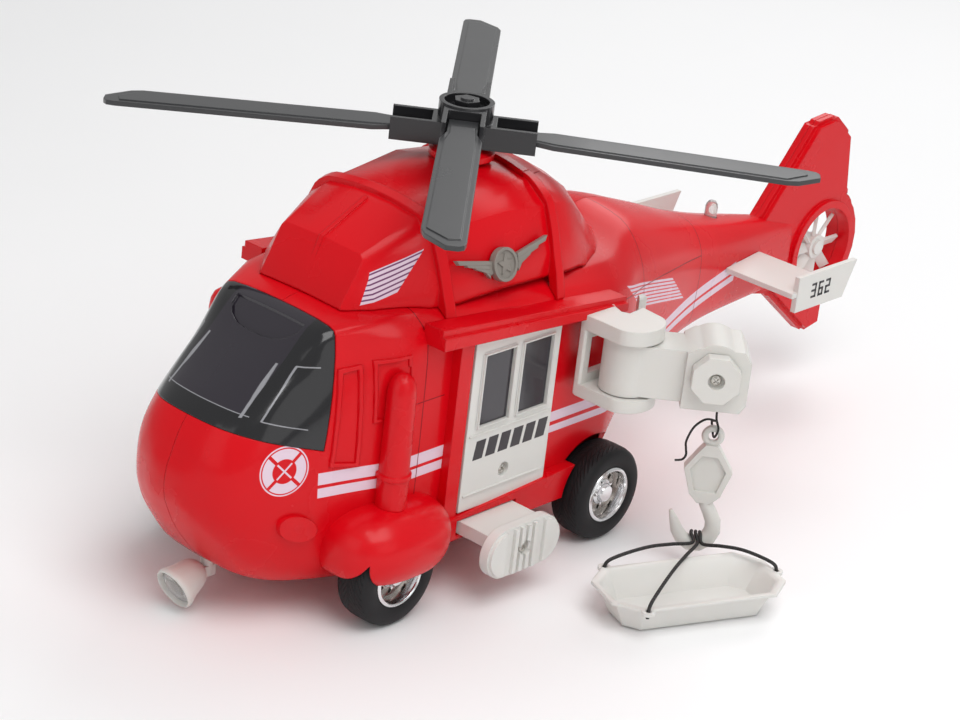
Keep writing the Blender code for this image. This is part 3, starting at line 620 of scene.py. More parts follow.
def hull_look():
    look = Look("red_hull")
    x, y, z = look.place()
    marks = look.any_of(stripes(look, x, y, z), roundel(look, x, y, z), louvres(look, x, y, z))
    away = look.math("ABSOLUTE", y)
    flank = look.math("GREATER_THAN", away, 12.0)
    seams = [
        look.all_of(look.within(x, 57.8, 58.2), flank),
        look.all_of(look.within(x, -79.2, -78.8), look.math("GREATER_THAN", z, 20.0)),
        look.all_of(look.within(x, -139.2, -138.8), look.math("GREATER_THAN", z, 20.0)),
        look.all_of(look.within(z, 82.0, 82.35), look.within(x, 47.0, 70.0), flank),
        look.all_of(look.within(look.line(-0.09, x, 1.0, z, 0.0), 100.4, 100.8),
                    look.within(x, -139.0, -58.0)),
    ]
    seam = look.any_of(*seams)
    tinted(look, RED, RED_DEEP, 9.0, [(marks, LILAC), (seam, (0.24, 0.0, 0.004))])
    look.rough(0.22, 0.31)
    look.constant(Coat_Weight=0.08, Coat_Roughness=0.1, IOR=1.4, Specular_IOR_Level=0.28)
    fine = look.math("MULTIPLY", look.noise(700.0, 3.0), 0.1)
    look.surface(0.0006, look.math("SUBTRACT", fine, seam), 0.5, 0.0004)
    return look.made


def roof_look():
    look = Look("red_roof")
    x, y, z = look.place()
    slant = look.line(0.33, x, 1.0, z, 0.0)
    wave = look.math("FRACT", look.math("DIVIDE", slant, 1.5))
    slat = look.within(wave, 0.14, 0.8, 0.08)
    front = look.line(1.0, x, 0.4536, z, 0.0)
    aft = look.line(1.0, x, 0.9466, z, 0.0)
    area = look.all_of(look.within(slant, 141.2, 150.6), look.math("LESS_THAN", front, 127.8))
    inside = look.all_of(area, look.math("GREATER_THAN", y, 20.0))
    keep = look.math("GREATER_THAN", aft, 176.3)
    plate = look.all_of(inside, keep)
    marks = look.all_of(plate, slat)
    tinted(look, RED, RED_DEEP, 9.0, [(plate, (0.16, 0.03, 0.12)), (marks, LILAC)])
    look.rough(0.22, 0.31)
    look.constant(Coat_Weight=0.08, Coat_Roughness=0.1, IOR=1.4, Specular_IOR_Level=0.28)
    look.surface(0.0008, look.noise(700.0, 3.0), 0.05, 0.0001)
    return look.made


def visor_look():
    look = Look("black_visor")
    x, y, z = look.place()
    away = look.math("ABSOLUTE", y)
    belt = look.line(-0.28, x, 1.0, z, 0.0)
    side = look.math("GREATER_THAN", away, 17.0)
    band = look.all_of(look.within(belt, 49.0, 49.3), look.math("GREATER_THAN", x, 118.0),
                       look.math("LESS_THAN", away, 21.0))
    post = look.all_of(look.within(look.line(1.0, x, 1.061, z, 0.0), 211.0, 211.6),
                       look.within(z, 82.6, 98.8), side)
    lean = look.all_of(look.within(look.line(1.0, x, 0.924, z, 0.0), 194.4, 195.0),
                       look.within(z, 82.0, 99.3), side)
    floor_line = look.all_of(look.within(look.line(-0.25, x, 1.0, z, 0.0), 52.1, 52.5),
                             look.within(x, 104.0, 118.9), side)
    roof_line = look.all_of(look.within(z, 99.0, 99.4), look.within(x, 96.6, 103.1), side)
    lines = look.any_of(band, post, lean, floor_line, roof_line)
    glass = look.all_of(look.math("GREATER_THAN", belt, 49.3), look.math("LESS_THAN", away, 19.0))
    tinted(look, BLACK, (0.012, 0.012, 0.014), 20.0,
           [(glass, (0.022, 0.018, 0.026)), (lines, (0.28, 0.28, 0.3))])
    look.rough(0.09, 0.15)
    look.constant(Coat_Weight=0.35, Coat_Roughness=0.05, IOR=1.45)
    look.surface(0.0007, look.math("SUBTRACT", 1.0, lines), 0.3, 0.0002)
    return look.made


def wheel_look():
    look = Look("tyre_rubber")
    where = look.tree.nodes.new("ShaderNodeTexCoord")
    split = look.tree.nodes.new("ShaderNodeSeparateXYZ")
    look.tree.links.new(where.outputs["Object"], split.inputs[0])
    look.raw = where.outputs["Object"]
    look.spot = (split.outputs[0], split.outputs[1], split.outputs[2])
    x, y, z = look.spot
    turn = look.math("ARCTAN2", z, x)
    square = look.math("ADD", look.math("MULTIPLY", x, x), look.math("MULTIPLY", z, z))
    away = look.math("SQRT", square)
    side = look.math("MULTIPLY", look.math("ABSOLUTE", y), 620.0)
    phase = look.math("MULTIPLY_ADD", turn, 40.0 / (2 * math.pi), side)
    wave = look.math("ABSOLUTE", look.math("SUBTRACT", look.math("FRACT", phase), 0.5))
    groove = look.within(wave, 0.12, 0.9, 0.1)
    centre = look.math("GREATER_THAN", look.math("ABSOLUTE", y), 0.0005)
    lane = look.math("ABSOLUTE", look.math("SUBTRACT", look.math("ABSOLUTE", y), 0.0032))
    lanes = look.math("GREATER_THAN", lane, 0.00035)
    tread = look.math("GREATER_THAN", away, 0.0188)
    cutmark = look.math("MULTIPLY", look.all_of(groove, centre, lanes), tread)
    rest = look.math("SUBTRACT", 1.0, tread)
    height = look.math("ADD", cutmark, rest)
    # Painted shade: the grooves between the tread blocks get a darker rubber colour in place of the shade
    # that falls in them.
    dark = look.math("SUBTRACT", 1.0, height, clamp=True)
    tinted(look, (0.012, 0.0115, 0.0125), (0.017, 0.016, 0.0175), 60.0, [(dark, (0.008, 0.008, 0.009))])
    look.rough(0.5, 0.62, 200.0)
    look.constant(Specular_IOR_Level=0.25)
    look.surface(0.0004, height, 0.9, 0.0008)
    return look.made


def metal(name, a, b, low, high, radius=0.0003):
    look = Look(name)
    tinted(look, a, b, 60.0)
    look.rough(low, high, 120.0)
    look.constant(Metallic=1.0)
    look.surface(radius, look.noise(500.0, 3.0), 0.04, 0.0001)
    return look.made


def clear_look():
    look = Look("clear_plastic")
    tinted(look, (0.92, 0.90, 0.88), (0.86, 0.85, 0.84), 30.0)
    look.rough(0.05, 0.12)
    look.constant(Transmission_Weight=0.75, IOR=1.49)
    look.surface(0.0003, look.noise(400.0, 2.0), 0.05, 0.0001)
    return look.made


def cord_look():
    look = Look("black_cord")
    wave = look.tree.nodes.new("ShaderNodeTexWave")
    look.place()
    look.tree.links.new(look.raw, wave.inputs["Vector"])
    wave.bands_direction = "DIAGONAL"
    wave.inputs["Scale"].default_value = 260.0
    wave.inputs["Distortion"].default_value = 1.5
    tinted(look, (0.012, 0.011, 0.011), (0.03, 0.028, 0.028), 300.0)
    look.rough(0.6, 0.8, 400.0)
    look.surface(0.0, wave.outputs["Fac"], 0.8, 0.0003)
    return look.made


LOOKS = {
    "hull": hull_look(),
    "roof": roof_look(),
    "red": plastic("red_plastic", RED, RED_DEEP, 0.22, 0.31, 0.0006, 0, (1, 1, 1), 0.08, 0.28),
    "visor": visor_look(),
    "black": plastic("black_plastic", (0.012, 0.012, 0.013), (0.02, 0.02, 0.022), 0.18, 0.28, 0.0005, 0,
                     (1, 1, 1), 0.3),
    "blade": plastic("blade_plastic", (0.03, 0.031, 0.033), (0.042, 0.043, 0.045), 0.24, 0.34, 0.0006, 0,
                     (1, 1, 1), 0.2),
    "pane": plastic("pane_black", (0.02, 0.017, 0.024), (0.028, 0.024, 0.032), 0.1, 0.16, 0.0003, 0,
                    (1, 1, 1), 0.5),
    "white": plastic("white_plastic", WHITE, (0.73, 0.72, 0.69), 0.3, 0.42, 0.0005, 0.06),
    "ivory": plastic("ivory_plastic", (0.66, 0.645, 0.61), (0.69, 0.68, 0.645), 0.32, 0.44, 0.0006, 0.08),
    "grey": plastic("grey_plastic", (0.21, 0.19, 0.165), (0.27, 0.245, 0.22), 0.32, 0.45, 0.0005),
    "dark": plastic("dark_case", (0.02, 0.02, 0.02), (0.035, 0.035, 0.035), 0.5, 0.65),
    "print": plastic("dark_print", (0.045, 0.04, 0.045), (0.06, 0.055, 0.06), 0.4, 0.5, 0.0),
    "board": plastic("green_board", (0.02, 0.16, 0.06), (0.03, 0.2, 0.08), 0.35, 0.5),
    "tyre": wheel_look(),
    "chrome": metal("chrome", (0.86, 0.86, 0.87), (0.8, 0.8, 0.81), 0.1, 0.18),
    "dish": metal("chrome_dish", (0.42, 0.38, 0.34), (0.5, 0.46, 0.42), 0.2, 0.3),
    "steel": metal("screw_steel", (0.62, 0.6, 0.56), (0.54, 0.52, 0.48), 0.22, 0.34),
    "clear": clear_look(),
    "cord": cord_look(),
}


def done(shape, name, look, body, stands_for=(), pivot=None, smooth=38.0):
    """Name a shape, move it to the shared frame in metres, dress it and let it ride its body."""
    shape.name = name
    shape.data.name = name
    at = Vector(pivot) if pivot else Vector((0.0, 0.0, 0.0))
    origin = Vector(pivot) if pivot else Vector((MIDDLE_X, 0.0, 0.0))
    shape.data.transform(Matrix.Scale(0.001, 4) @ Matrix.Translation(-origin))
    if pivot:
        shape.location = (at - Vector((MIDDLE_X, 0.0, 0.0))) * 0.001
    shape.data.materials.clear()
    shape.data.materials.append(LOOKS[look])
    for face in shape.data.polygons:
        face.material_index = 0
    shape.data.shade_smooth()
    shape.data.set_sharp_from_angle(angle=math.radians(smooth))
    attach(shape, body)
    if stands_for:
        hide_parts(*stands_for)
    return shape


def both(shape, name, look, bodies, stands_for, smooth=38.0):
    """A left piece and its mirror image on the right."""
    other = mirrored(shape)
    for side, made, body in (("left", shape, bodies[0]), ("right", other, bodies[1])):
        nodes = [n + "_" + side for n in stands_for]
        done(made, name + "_" + side, look, body, nodes, smooth=smooth)


def ridge(outline, hole, height=0.9, sink=0.6):
    """A raised outline that follows the body's left side: outline and hole hold (x, z)."""
    strip = prism(outline, "Y", 15, 70)
    if hole:
        cut(strip, prism(hole, "Y", 10, 80))
    return cut(common(body_fine(height, 3, 2), strip), body_fine(-sink, 3, 2))


def screw(centre, direction, radius=2.1):
    made = lathe([(0, 0), (radius, 0), (radius, 0.7), (radius * 0.7, 1.2), (0, 1.25)], centre, direction, 24)
    way, side, third = frame_of(direction)
    for arm in (side, third):
        wide = way.cross(arm)
        ends = [Vector(centre) + arm * s * radius * 0.6 + wide * w * 0.28 for s,
                w in ((-1, -1), (1, -1), (1, 1), (-1, 1))]
        points = [p + way * 0.55 for p in ends] + [p + way * 3 for p in ends]
        faces = [(3, 2, 1, 0), (4, 5, 6, 7), (0, 1, 5, 4), (1, 2, 6, 5), (2, 3, 7, 6), (3, 0, 4, 7)]
        cut(made, solid(points, faces))
    return made


# ---- body shell ----
outer = body_fine(0.0)
join(outer, bevelled(prism(FIN, "Y", -4.6, 4.6), 2.2, 4))
ring_out = rod((FAN[0], -6.2, FAN[1]), (FAN[0], 6.2, FAN[1]), FAN_R + 5.0, 64)
join(outer, ring_out)
cut(outer, rod((FAN[0], -10, FAN[1]), (FAN[0], 10, FAN[1]), FAN_R + 1.4, 64))
inner = body_fine(-WALL, 2, 2)
cut(inner, box(-240, -196, -20, 20, 20, 120))
shell = cut(outer, inner)
for axle_x in (FRONT_AXLE_X, REAR_AXLE_X):
    for side in (-1, 1):
        low, high = sorted((side * 40.2, side * 62.0))
        cut(shell, rod((axle_x, low, WHEEL_R), (axle_x, high, WHEEL_R), WHEEL_R + 2.2, 40))
cut(shell, box(-50, 60, -27, 27, 105, 125))
cut(shell, box(-8, 32, -60, 60, 38, 95))
cut(shell, box(STEP_X - 16.5, STEP_X + 16.5, -60, 60, 23.5, 29.7))
cut(shell, rod((116, 0, 5), (116, 0, 30), 3.0, 24))
cut(shell, box(-58.4, -19.6, -15.4, 15.4, 5, 24))
cut(shell, rod((-166, 0, 88), (-166, 0, 110), 3.05, 24))
VISOR = [(84.5, 130), (90.3, 107), (98.0, 69.5), (133.5, 79.5), (152, 84.7), (152, 130)]
visor = common(copy_of(shell), prism([(x + 0.25, z + 0.25) for x, z in VISOR], "Y", -60, 60))
cut(shell, prism([(x - 0.05, z - 0.05) for x, z in VISOR], "Y", -60, 60))
sunroof = [(93.8, -17.5), (97.0, -17.0), (99.6, -14), (101.4, -9), (102.0, -4), (102.0, 4), (101.4, 9),
           (99.6, 14)]
sunroof = prism(sunroof + [(97.0, 17.0), (93.8, 17.5)], "Z", 96.0, 130)
cut(visor, cut(sunroof, body_fine(-0.9, 4, 3)))
done(visor, "visor", "visor", "body", ["windshield"], smooth=32)
left = common(copy_of(shell), box(-400, 300, 0.1, 200, -50, 300))
right_half = mirrored(left)
bpy.data.objects.remove(shell)
done(left, "shell_left", "hull", "body", ["hull_left"], smooth=32)
done(right_half, "shell_right", "hull", "body", ["hull_right"], smooth=32)

# ---- roof fairing with its dome, ribs and battery cover ----
roof = roof_fine(ROOF, 0.0, 1, 1)
for rib_x in (44.0, -15.0):
    rib = [(rib_x + 2.2, between_rows(ROOF, rib_x + 2.2)), (rib_x - 2.2, between_rows(ROOF, rib_x - 2.2))]
    join(roof, roof_fine(rib, 1.7, 3, 1))
spine = prism([(82.0, 110), (71.6, 134.4), (50, 145.4), (50, 130), (70, 112)], "Y", -1.0, 1.0)
join(roof, spine)
hollow_rows = [(76.0, ROOF[0][1])] + ROOF[1:-1] + [(-58.0, between_rows(ROOF, -58.0))]
cut(roof, roof_fine(hollow_rows, -2.2, 2, 1))
cut(roof, body_fine(0.3, 4, 3))
cut(roof, rod((0, 0, 100), (0, 0, 170), 3.1, 24))
COVER = [(-13, -20), (-49, -15), (-49, 15), (-13, 20)]
cover = common(copy_of(roof), prism(COVER, "Z", 118, 170))
cut(roof, prism([(-12.7, -20.3), (-49.3, -15.3), (-49.3, 15.3), (-12.7, 20.3)], "Z", 118, 170))
done(roof, "roof", "roof", "body", ["roof_fairing"], smooth=30)
done(cover, "cover", "red", "body", ["battery_cover"], smooth=30)
collar = lathe([(3.2, 151.9), (12.5, 151.9), (12.5, 154.2), (9, 156), (3.2, 156)], (0, 0, 0.5),
               (0, 0, 1), 64)
done(collar, "collar", "red", "body", ["mast_collar"])


# ---- nose pods, exhausts, side frames, raised outlines ----
def super_pod():
    rings = []
    centre = (70.0, 42.0, 30.5)
    for n in range(25):
        t = -1 + 2 * n / 24
        x = centre[0] + 26.5 * math.sin(t * math.pi / 2)
        size = max(1 - abs(math.sin(t * math.pi / 2)) ** 2.6, 0.0) ** (1 / 2.6)
        size = max(size, 0.06)
        ring = []
        for k in range(40):
            bend = 2 * math.pi * k / 40
            c, s = math.cos(bend), math.sin(bend)
            y = centre[1] + 21.6 * size * math.copysign(abs(c) ** (2 / 2.7), c)
            z = centre[2] + 15.6 * size * math.copysign(abs(s) ** (2 / 2.3), s)
            ring.append((x, y, z))
        rings.append(ring)
    return loft(rings)


pod = super_pod()
cut(pod, rod((FRONT_AXLE_X, 15, WHEEL_R), (FRONT_AXLE_X, WHEEL_OUT + 0.6, WHEEL_R), WHEEL_R + 1.6, 48))
cut(pod, body_fine(-0.4, 3, 2))
cut(pod, box(30, 120, 10, 70, 0, 20.9))
both(copy_of(pod), "pod", "red", ("body", "body"), ["wheel_pod"], smooth=40)
bar = [(0, 41.5), (5.6, 41.5), (5.9, 44), (5.9, 56.6), (6.6, 57), (6.6, 58.6), (5.7, 59), (5.4, 90),
       (4.9, 93.4)]
bar += [(3.7, 95.8), (1.9, 97.2), (0, 97.6)]
pipe = lathe(bar, (72.0, 47.0, 0), (0, 0, 1), 40)
cut(pipe, body_fine(-0.3, 3, 2), pod)
both(pipe, "pipe", "red", ("body", "body"), ["exhaust"])
rail = prism([(58.5, 112.2), (-46, 102.4), (-46, 97.0), (58.5, 104.6)], "Y", HALF_WIDTH - 3.0,
             FRAME_OUT + 3.2)
cut(rail, prism([(70, 113.4), (-60, 102.0), (-60, 99.0), (70, 110.4)], "Y", FRAME_OUT + 1.8, 60))
sill = prism([(44, 22), (-34, 22), (-37, 35.0), (44, 31.0)], "Y", HALF_WIDTH - 2.0, FRAME_OUT + 0.4)
posts = prism([(37.6, 30), (44.5, 30), (44.5, 106), (37.6, 106)], "Y", HALF_WIDTH - 1.5, FRAME_OUT - 0.6)
join(rail, sill, posts)
cut(rail, body_fine(-0.3, 3, 2), rod((REAR_AXLE_X, 40, WHEEL_R), (REAR_AXLE_X, 60, WHEEL_R),
                                     WHEEL_R + 2.2, 40))
cut(rail, box(STEP_X - 16.5, STEP_X + 16.5, 40, 60, 23.5, 29.7))
both(rail, "side_rails", "red", ("body", "body"), ["side_frame"])
panel_a = ridge([(91.6, 98.6), (83.6, 100), (84.8, 62), (96.4, 63.4)],
                [(90.2, 97.2), (85, 98.4), (86.2, 63.6), (94.8, 64.8)])
both(panel_a, "panel_front", "red", ("body", "body"), [])
panel_b = ridge([(80, 101.3), (66, 102.3), (66, 79), (80, 78)],
                [(78.8, 100), (67.2, 101), (67.2, 80.2), (78.8, 79.2)])
cut(panel_b, rod((72, 47, 40), (72, 47, 98), 6.1, 24))
both(panel_b, "panel_rear", "red", ("body", "body"), [])
bulge = ridge([(108 + 7.2 * math.cos(k * math.pi / 12) + 2.6 * math.sin(k * math.pi / 12),
                41.5 + 5.6 * math.sin(k * math.pi / 12)) for k in range(24)], None, 1.6)
both(bulge, "nose_bulge", "red", ("body", "body"), [], smooth=60)


# ---- doors with panes, print and screws ----
def door():
    made = prism([(-12, 32), (36, 32), (36, 102), (-12, 98)], "Y", 46.7, 49.0)
    for start in (-7.5, 14.0):
        rim_out = box(start - 1.3, start + 17.8, 48.4, 49.9, 64.7, 96.3)
        bevelled(rim_out, 0.7, 2)
        join(made, rim_out)
    for start in (-7.5, 14.0):
        hole = box(start, start + 16.5, 40, 60, 66, 95)
        cut(made, hole)
    for z in (38.0, 62.5):
        join(made, box(-10.5, 34.5, 48.6, 49.5, z, z + 0.8))
    return cut(made, rod((12.5, 47.4, 44.0), (12.5, 60, 44.0), 2.9, 24))


panes = box(-7.2, 30.2, 45.8, 46.4, 66.3, 94.7)
for start in (-7.2, 14.3):
    join(panes, box(start, start + 15.9, 46.2, 48.5, 66.3, 94.7))
both(door(), "door_panel", "white", ("left_door", "right_door"), ["door"])
both(panes, "door_glass", "pane", ("left_door", "right_door"), ["door_panes"])
BAR_LOW = 52.4
BAR_TOP = BAR_LOW + 7.6
DOOR_FACE = 49.0
for n in range(6):
    start = 31.2 - 7.0 * n
    outline = [(start, BAR_LOW), (start - 5.2, BAR_LOW), (start - 6.6, BAR_TOP), (start - 1.4, BAR_TOP)]
    slat = prism(outline, "Y", DOOR_FACE - 0.05, DOOR_FACE + 0.12)
    side = mirrored(slat)
    done(slat, "door_mark_left_" + str(n + 1), "print", "left_door")
    done(side, "door_mark_right_" + str(n + 1), "print", "right_door")
both(screw((12.5, 47.3, 44.0), (0, 1, 0)), "door_screw", "steel", ("left_door", "right_door"), [])


# ---- badges: a star disc between two plain feathered plates ----
def badge():
    plate = prism(ring_prism(6.4, 48, 0, (16.0, 124.5)), "Y", 0, 2.0)
    join(plate, cut(prism(ring_prism(6.4, 48, 0, (16.0, 124.5)), "Y", 1.8, 2.7),
                    prism(ring_prism(5.2, 48, 0, (16.0, 124.5)), "Y", 1, 5)))
    star = []
    for k in range(10):
        bend = math.radians(90 + 36 * k)
        reach = 4.2 if k % 2 == 0 else 1.8
        star.append((16.0 + reach * math.cos(bend), 124.5 + reach * math.sin(bend)))
    join(plate, prism(star, "Y", 1.8, 2.6))
    for side in (-1, 1):
        base = prism([(16 + side * 5, 122.6), (16 + side * 8.5, 121.4), (16 + side * 8.5, 127.2),
                      (16 + side * 5, 126.6)], "Y", 0, 1.5)
        join(plate, base)
        for k in range(4):
            tip = 25.0 - 4.4 * k
            low = 120.6 + 1.7 * (3 - k)
            feather = [(16 + side * 7.6, low), (16 + side * (tip - 1.5), low + 3.0),
                       (16 + side * tip, low + 5.0),
                       (16 + side * 7.6, low + 1.55)]
            join(plate, prism(feather, "Y", 0, 1.9 - 0.12 * k))
    lean = Matrix.Rotation(math.radians(17), 4, "X")
    return change(plate, Matrix.Translation((0, 38.9, 124.5)) @ lean @ Matrix.Translation((0, 0, -124.5)))


both(badge(), "badge_plate", "grey", ("body", "body"), ["badge"])


# ---- steps ----
def step():
    pad = []
    for sign, first in ((1, -90), (-1, 90)):
        for k in range(17):
            bend = math.radians(first + 11.25 * k)
            pad.append((STEP_X + sign * 10 + 10 * math.cos(bend), STEP_Z + 10 * math.sin(bend)))
    made = prism(pad, "Y", 66.0, 70.0)
    join(made, box(STEP_X - 15, STEP_X - 3, 42.0, 67, 24.0, 29.2))
    join(made, box(STEP_X - 3.5, STEP_X + 15, 42.0, 67, 24.0, 29.2))
    for k in (-5.2, -1.6, 1.9, 5.5):
        join(made, box(STEP_X + k - 1.0, STEP_X + k + 1.0, 69.5, 71.4, 13.4, 31.6))
    for side in (-1, 1):
        wing = []
        for k in range(17):
            bend = math.radians(-90 * side + 11.25 * k)
            wing.append((STEP_X + side * 10.5 + 8.8 * math.cos(bend), STEP_Z + 8.8 * math.sin(bend)))
        join(made, prism(wing, "Y", 69.5, 71.4))
    return cut(made, rod((STEP_X, 69, STEP_Z), (STEP_X, 75, STEP_Z), 3.0, 24))


both(step(), "side_step", "white", ("left_step", "right_step"), ["step"])
both(screw((STEP_X, 69.1, STEP_Z), (0, 1, 0)), "step_screw", "steel", ("left_step", "right_step"), [])

# ---- winch ----
px, py = PIVOT


def bracket():
    made = box(px - 24, px + 12, FRAME_OUT + 0.3, 53.8, 67, 101, 0.8)
    cut(made, box(px - 16, px + 8, 40, 60, 76, 91))
    for low, high in ((67.3, 72.3), (94.7, 100.7)):
        cheek = [(px - 14, 52), (px + 12, 52), (px + 12, py - 2)]
        for k in range(17):
            bend = math.radians(11.25 * k)
            cheek.append((px + 12 * math.cos(bend), py + 3 + 9 * math.sin(bend)))
        join(made, prism(cheek, "Z", low, high))
    slot_cut = prism([(px - 22, 50), (px - 6, 50), (px - 2.5, 58), (px - 4, 61), (px - 13, 60)], "Z", 93,
                     103)
    cut(made, slot_cut)
    return cut(made, rod((px, py, 60), (px, py, 98.6), 2.9, 24))


def boom():
    made = prism(ring_prism(10, 48), "Z", 72.8, 94.2)
    join(made, box(0, 26, -9, 9, 73.2, 93.8))
    head = [(21, 71.5), (43.5, 71.5), (45.6, 75), (45.6, 92), (42.6, 96.5), (25, 96.5), (21, 93.8)]
    join(made, prism(head, "Y", -11.5, 11.5))
    join(made, rod((REEL_OUT, -11.5, REEL_Z + 1.5), (REEL_OUT, 11.5, REEL_Z + 1.5), 11.0, 48))
    cut(made, box(26.0, 39.5, -8.5, 8.5, 60, 93.5))
    cut(made, rod((REEL_OUT, -20, REEL_Z), (REEL_OUT, 20, REEL_Z), 2.7, 24))
    return cut(made, rod((0, 0, 60), (0, 0, 110), 2.9, 24))


def knob(side):
    low, high = sorted((side * 11.9, side * 17.2))
    centre = (REEL_OUT, REEL_Z)
    made = prism(ring_prism(9.9, 8, 22.5, centre), "Y", low, high)
    if side > 0:
        cut(made, prism(ring_prism(8.2, 8, 22.5, centre), "Y", 13.2, 20))
        join(made, box(REEL_OUT - 8.6, REEL_OUT + 8.6, 13.0, 16.8, REEL_Z - 0.6, REEL_Z + 0.6))
        join(made, box(REEL_OUT - 0.6, REEL_OUT + 0.6, 13.0, 16.8, REEL_Z - 8.6, REEL_Z + 8.6))
        join(made, rod((REEL_OUT, 13.0, REEL_Z), (REEL_OUT, 16.8, REEL_Z), 2.8, 24))
    else:
        cut(made, rod((REEL_OUT, -14.6, REEL_Z), (REEL_OUT, -20, REEL_Z), 3.2, 32))
    return made


def on_boom(shape):
    return moved(shape, px, py, 0.0, turn=BOOM_TURN)


done(bracket(), "bracket", "ivory", "body", ["winch_bracket"])
done(on_boom(boom()), "boom_arm", "ivory", "boom", ["winch_boom"])
done(on_boom(knob(-1)), "knob_front", "ivory", "reel", ["winch_knob_front"])
done(on_boom(knob(1)), "knob_rear", "ivory", "reel", ["winch_knob_rear"])
done(on_boom(screw((REEL_OUT, -14.7, REEL_Z), (0, -1, 0))), "knob_screw", "steel", "reel", ["winch_screw"])

# ---- hook ----
turn = math.radians(BOOM_TURN)
reel_at = (px + REEL_OUT * math.cos(turn), py + REEL_OUT * math.sin(turn), REEL_Z)
hang_x = reel_at[0] + 4.2 * math.cos(turn)
hang_y = reel_at[1] + 4.2 * math.sin(turn)


def hook():
    eye = lathe([(1.75, 0.0), (2.1, -1.2), (3.1, -1.6), (4.1, -1.2), (4.5, 0), (4.1, 1.2), (3.1, 1.6),
                 (2.1, 1.2)],
                (0, 0, 0), (0, 1, 0), 40)
    plate = [(-2.2, -3.2), (2.2, -3.2), (4.6, -6.5), (9.4, -14), (6, -24.5), (2.6, -28), (-2.6, -28),
             (-6, -24.5)]
    plate += [(-9.4, -14), (-4.6, -6.5)]
    made = prism(plate, "Y", -2.6, 2.6)
    pocket = [(-3.0, -8.2), (3.0, -8.2), (6.9, -14), (4.2, -23), (-4.2, -23), (-6.9, -14)]
    for low, high in ((1.2, 4.0), (-4.0, -1.2)):
        cut(made, prism(pocket, "Y", low, high))
    join(made, eye)
    path = [(0.3, -25, 2.5), (1.2, -29, 2.7), (3.2, -32.5, 2.9), (4.9, -36, 3.1), (5.2, -40, 3.3),
            (3.6, -43.8, 3.4)]
    path += [(0.4, -46.1, 3.4), (-3.2, -46.4, 3.2), (-6.4, -44.6, 2.9), (-8.6, -41.4, 2.5),
             (-10.2, -37.4, 1.8)]
    path += [(-12.0, -33.4, 0.7)]
    return join(made, tube([(x, 0, z) for x, z, r in path], [r for x, z, r in path], 16))


done(moved(hook(), hang_x, hang_y, EYE_Z, turn=HOOK_TURN), "hook_body_visual", "ivory", "hook_body",
     ["hook"])

# ---- stretcher tray ----
basket_at = (reel_at[0] + 38 * math.cos(math.radians(40)), reel_at[1] + 38 * math.sin(math.radians(40)))
EARS = [(-27.0, 18.0), (-27.0, -18.0), (38.2, 0.0)]


def tray_outline(length, width, corner):
    a, b = length / 2, width / 2
    return [(-a + corner, -b), (a - corner, -b), (a, -b + corner), (a, b - corner), (a - corner, b),
            (-a + corner, b), (-a, b - corner), (-a, -b + corner)]


def tray():
    sizes = [(60, 22, 5, 0.8), (70, 30.5, 8, 11.4), (75, 35, 9, 11.6), (75, 35, 9, 12.8), (71, 31, 8, 12.8)]
    sizes += [(68.6, 28.8, 8, 11.6), (58.4, 20.6, 5, 2.4)]
    rings = [[(x, y, z) for x, y in tray_outline(a, b, c)] for a, b, c, z in sizes]
    made = loft(rings)
    for side in (-1, 1):
        low, high = sorted((side * 6.0, side * 9.5))
        join(made, box(-24, 24, low, high, 0.1, 1.6))
    for x, y in EARS:
        join(made, prism(ring_prism(2.6, 24, 0, (x, y)), "Z", 11.4, 12.7))
        cut(made, rod((x, y, 8), (x, y, 15), 1.15, 16))
    return made


done(moved(tray(), basket_at[0], basket_at[1], 0.0, turn=BASKET_TURN), "tray", "white", "stretcher",
     ["basket"])


# ---- wheels ----
def tyre():
    half = TYRE_WIDE / 2
    profile = [(11.6, -half + 0.9), (12.6, -half + 0.1), (14.5, -half - 0.1), (16.8, -half),
               (18.2, -half + 0.7)]
    profile += [(19.1, -half + 1.8), (19.5, -half + 3.6), (19.6, 0), (19.5, half - 3.6), (19.1, half - 1.8)]
    profile += [(18.2, half - 0.7), (16.8, half), (14.5, half + 0.1), (12.6, half - 0.1), (11.6, half - 0.9)]
    return lathe(profile, (0, 0, 0), (0, 1, 0), 96)


def rim_ring():
    half = TYRE_WIDE / 2
    profile = [(9.6, -5.0), (11.7, -5.4), (11.7, half - 0.6), (11.2, half + 0.1), (10.6, half + 0.3)]
    profile += [(10.1, half), (9.8, half - 0.8), (9.3, 3.0)]
    return lathe(profile, (0, 0, 0), (0, 1, 0), 72)


def rim_dish():
    made = lathe([(2.25, -5.0), (9.9, -4.8), (9.9, 1.6), (8.6, 2.4), (5.2, 3.0), (2.25, 3.0)], (0, 0, 0),
                 (0, 1, 0), 48)
    for k in range(8):
        a = math.radians(45 * k)
        slot_cut = box(5.8, 8.0, -2, 6, -0.8, 0.8)
        cut(made, change(slot_cut, Matrix.Rotation(a, 4, "Y")))
    return made


def rim_hub():
    half = TYRE_WIDE / 2
    profile = [(0, 2.4), (5.4, 2.4), (5.2, 3.8), (4.0, 4.6), (3.9, half - 2.2), (3.2, half - 1.2),
               (1.6, half - 0.8)]
    made = lathe(profile + [(0, half - 0.7)], (0, 0, 0), (0, 1, 0), 40)
    for k in range(5):
        a = math.radians(72 * k)
        at = (4.6 * math.cos(a), 4.6 * math.sin(a))
        join(made, rod((at[0], 2.6, at[1]), (at[0], 4.9, at[1]), 0.55, 10))
    return made


